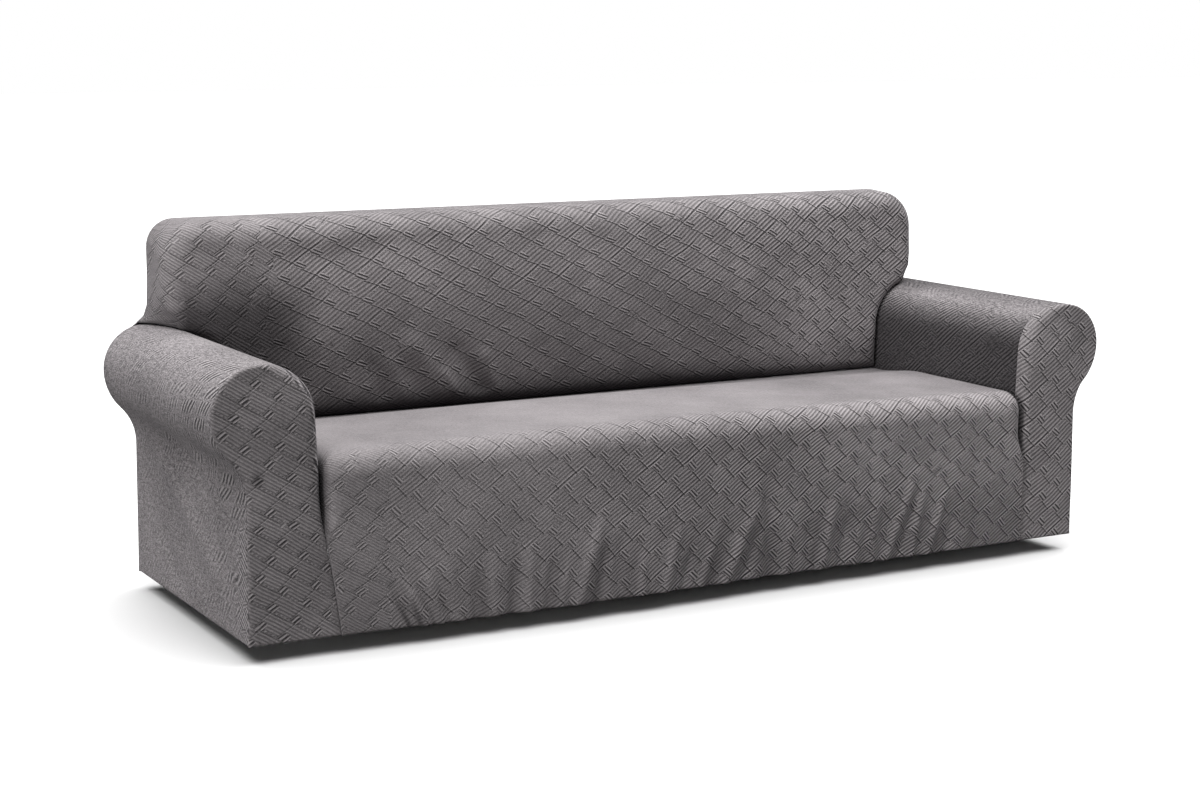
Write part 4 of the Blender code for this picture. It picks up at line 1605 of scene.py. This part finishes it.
@dataclass
class Studio:
    """A plain pale floor, soft light and the camera."""

    floor_size: float = 80.0
    floor_grey: float = 0.80
    floor_bounce: float = 0.06
    floor_roughness: float = 0.75
    floor_specular: float = 0.15
    sky_seen: float = 1.0
    sky_light: float = 0.04
    overhead_from: tuple = (0.06, 0.00, 1.0)
    overhead_spread: float = 90.0
    overhead_strength: float = 6.0
    low_from: tuple = (-0.93, -0.35, 0.08)
    low_spread: float = 12.0
    low_strength: float = 1.5
    camera_at: tuple = (-2.5716, -4.9048, 0.4317)
    camera_pitch: float = 9.525
    camera_yaw: float = 28.792
    camera_lens: float = 66.2325

    def build(self) -> None:
        """Put the floor, the sky, the lights and the camera in place."""
        self._floor()
        self._sky()
        self._broad("overhead", self.overhead_from, self.overhead_spread, self.overhead_strength)
        self._broad("low_left", self.low_from, self.low_spread, self.low_strength)
        self._camera()

    def _floor(self) -> None:
        """The pale floor below the hem."""
        bpy.ops.object.select_all(action="DESELECT")
        bpy.ops.mesh.primitive_plane_add(size=self.floor_size, location=(0.0, 0.0, -float(ORIGIN[2])))
        floor = bpy.context.active_object
        floor.name = "floor"
        material = bpy.data.materials.new("pale_floor")
        material.use_nodes = True
        shader = material.node_tree.nodes["Principled BSDF"]
        g = Graph(material.node_tree)
        bounce, grey = ((level, level, level, 1.0) for level in (self.floor_bounce, self.floor_grey))
        colour = g.mix(g.add("LightPath", {}, "Is Camera Ray"), bounce, grey, "RGBA")
        roughness, specular = self.floor_roughness, self.floor_specular
        g.feed(shader, {"Base Color": colour, "Roughness": roughness, "Specular IOR Level": specular})
        floor.data.materials.append(material)

    def _sky(self) -> None:
        """A white surround that lights softly."""
        world = bpy.data.worlds.new("white_surround")
        bpy.context.scene.world = world
        world.use_nodes = True
        g = Graph(world.node_tree)
        strength = g.mix(g.add("LightPath", {}, "Is Camera Ray"), self.sky_light, self.sky_seen)
        g.feed(world.node_tree.nodes["Background"], {"Strength": strength, "Color": (1.0, 1.0, 1.0, 1.0)})

    @staticmethod
    def _broad(name: str, towards: tuple, spread: float, strength: float) -> None:
        """One broad light from far away.

        Args:
            name: the lamp's name.
            towards: the direction that it is seen in.
            spread: how wide it is, in degrees.
            strength: its strength in watts per square metre.
        """
        lamp = bpy.data.lights.new(name, "SUN")
        lamp.energy = strength
        lamp.angle = math.radians(spread)
        holder = bpy.data.objects.new(name, lamp)
        bpy.context.scene.collection.objects.link(holder)
        holder.rotation_euler = Vector(towards).to_track_quat("Z", "Y").to_euler()

    def _camera(self) -> None:
        """The camera at the viewing angle."""
        lens = bpy.data.cameras.new("camera")
        lens.lens = self.camera_lens
        lens.sensor_width = 36.0
        camera = bpy.data.objects.new("camera", lens)
        bpy.context.scene.collection.objects.link(camera)
        camera.location = self.camera_at
        camera.rotation_euler = np.radians((90.0 - self.camera_pitch, 0.0, -self.camera_yaw))
        bpy.context.scene.camera = camera


def main() -> None:
    """Build the cover panel by panel, then the studio."""
    logging.basicConfig(level=logging.INFO, format="%(message)s")
    bpy.context.scene.view_settings.view_transform = "Standard"
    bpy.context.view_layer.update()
    relief = Relief(ClothFinish(), BlockShape(), StrokeShape())
    panels = [
        SeatFront("seat_front", flat=(1.88, 1.03), area=1.88, weave=APRON_WEAVE),
        InsideBack("inside_back", flat=(2.28, 0.59), area=1.22, weave=BACK_WEAVE),
        OutsideBack("outside_back", flat=(2.30, 0.83), area=1.80),
    ]
    for side in Side:
        word = side.name.lower()
        panels.append(ArmWrap("arm_" + word, flat=(0.73, 0.98), area=0.69, weave=ARM_WEAVE, side=side))
        facing = FACING_WEAVE[side]
        panels.append(ArmFront("arm_front_" + word, flat=(0.27, 0.59), area=0.114, weave=facing, side=side))
    for panel in panels:
        panel.build(relief)
    Studio().build()
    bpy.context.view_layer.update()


if __name__ == "__main__":
    main()
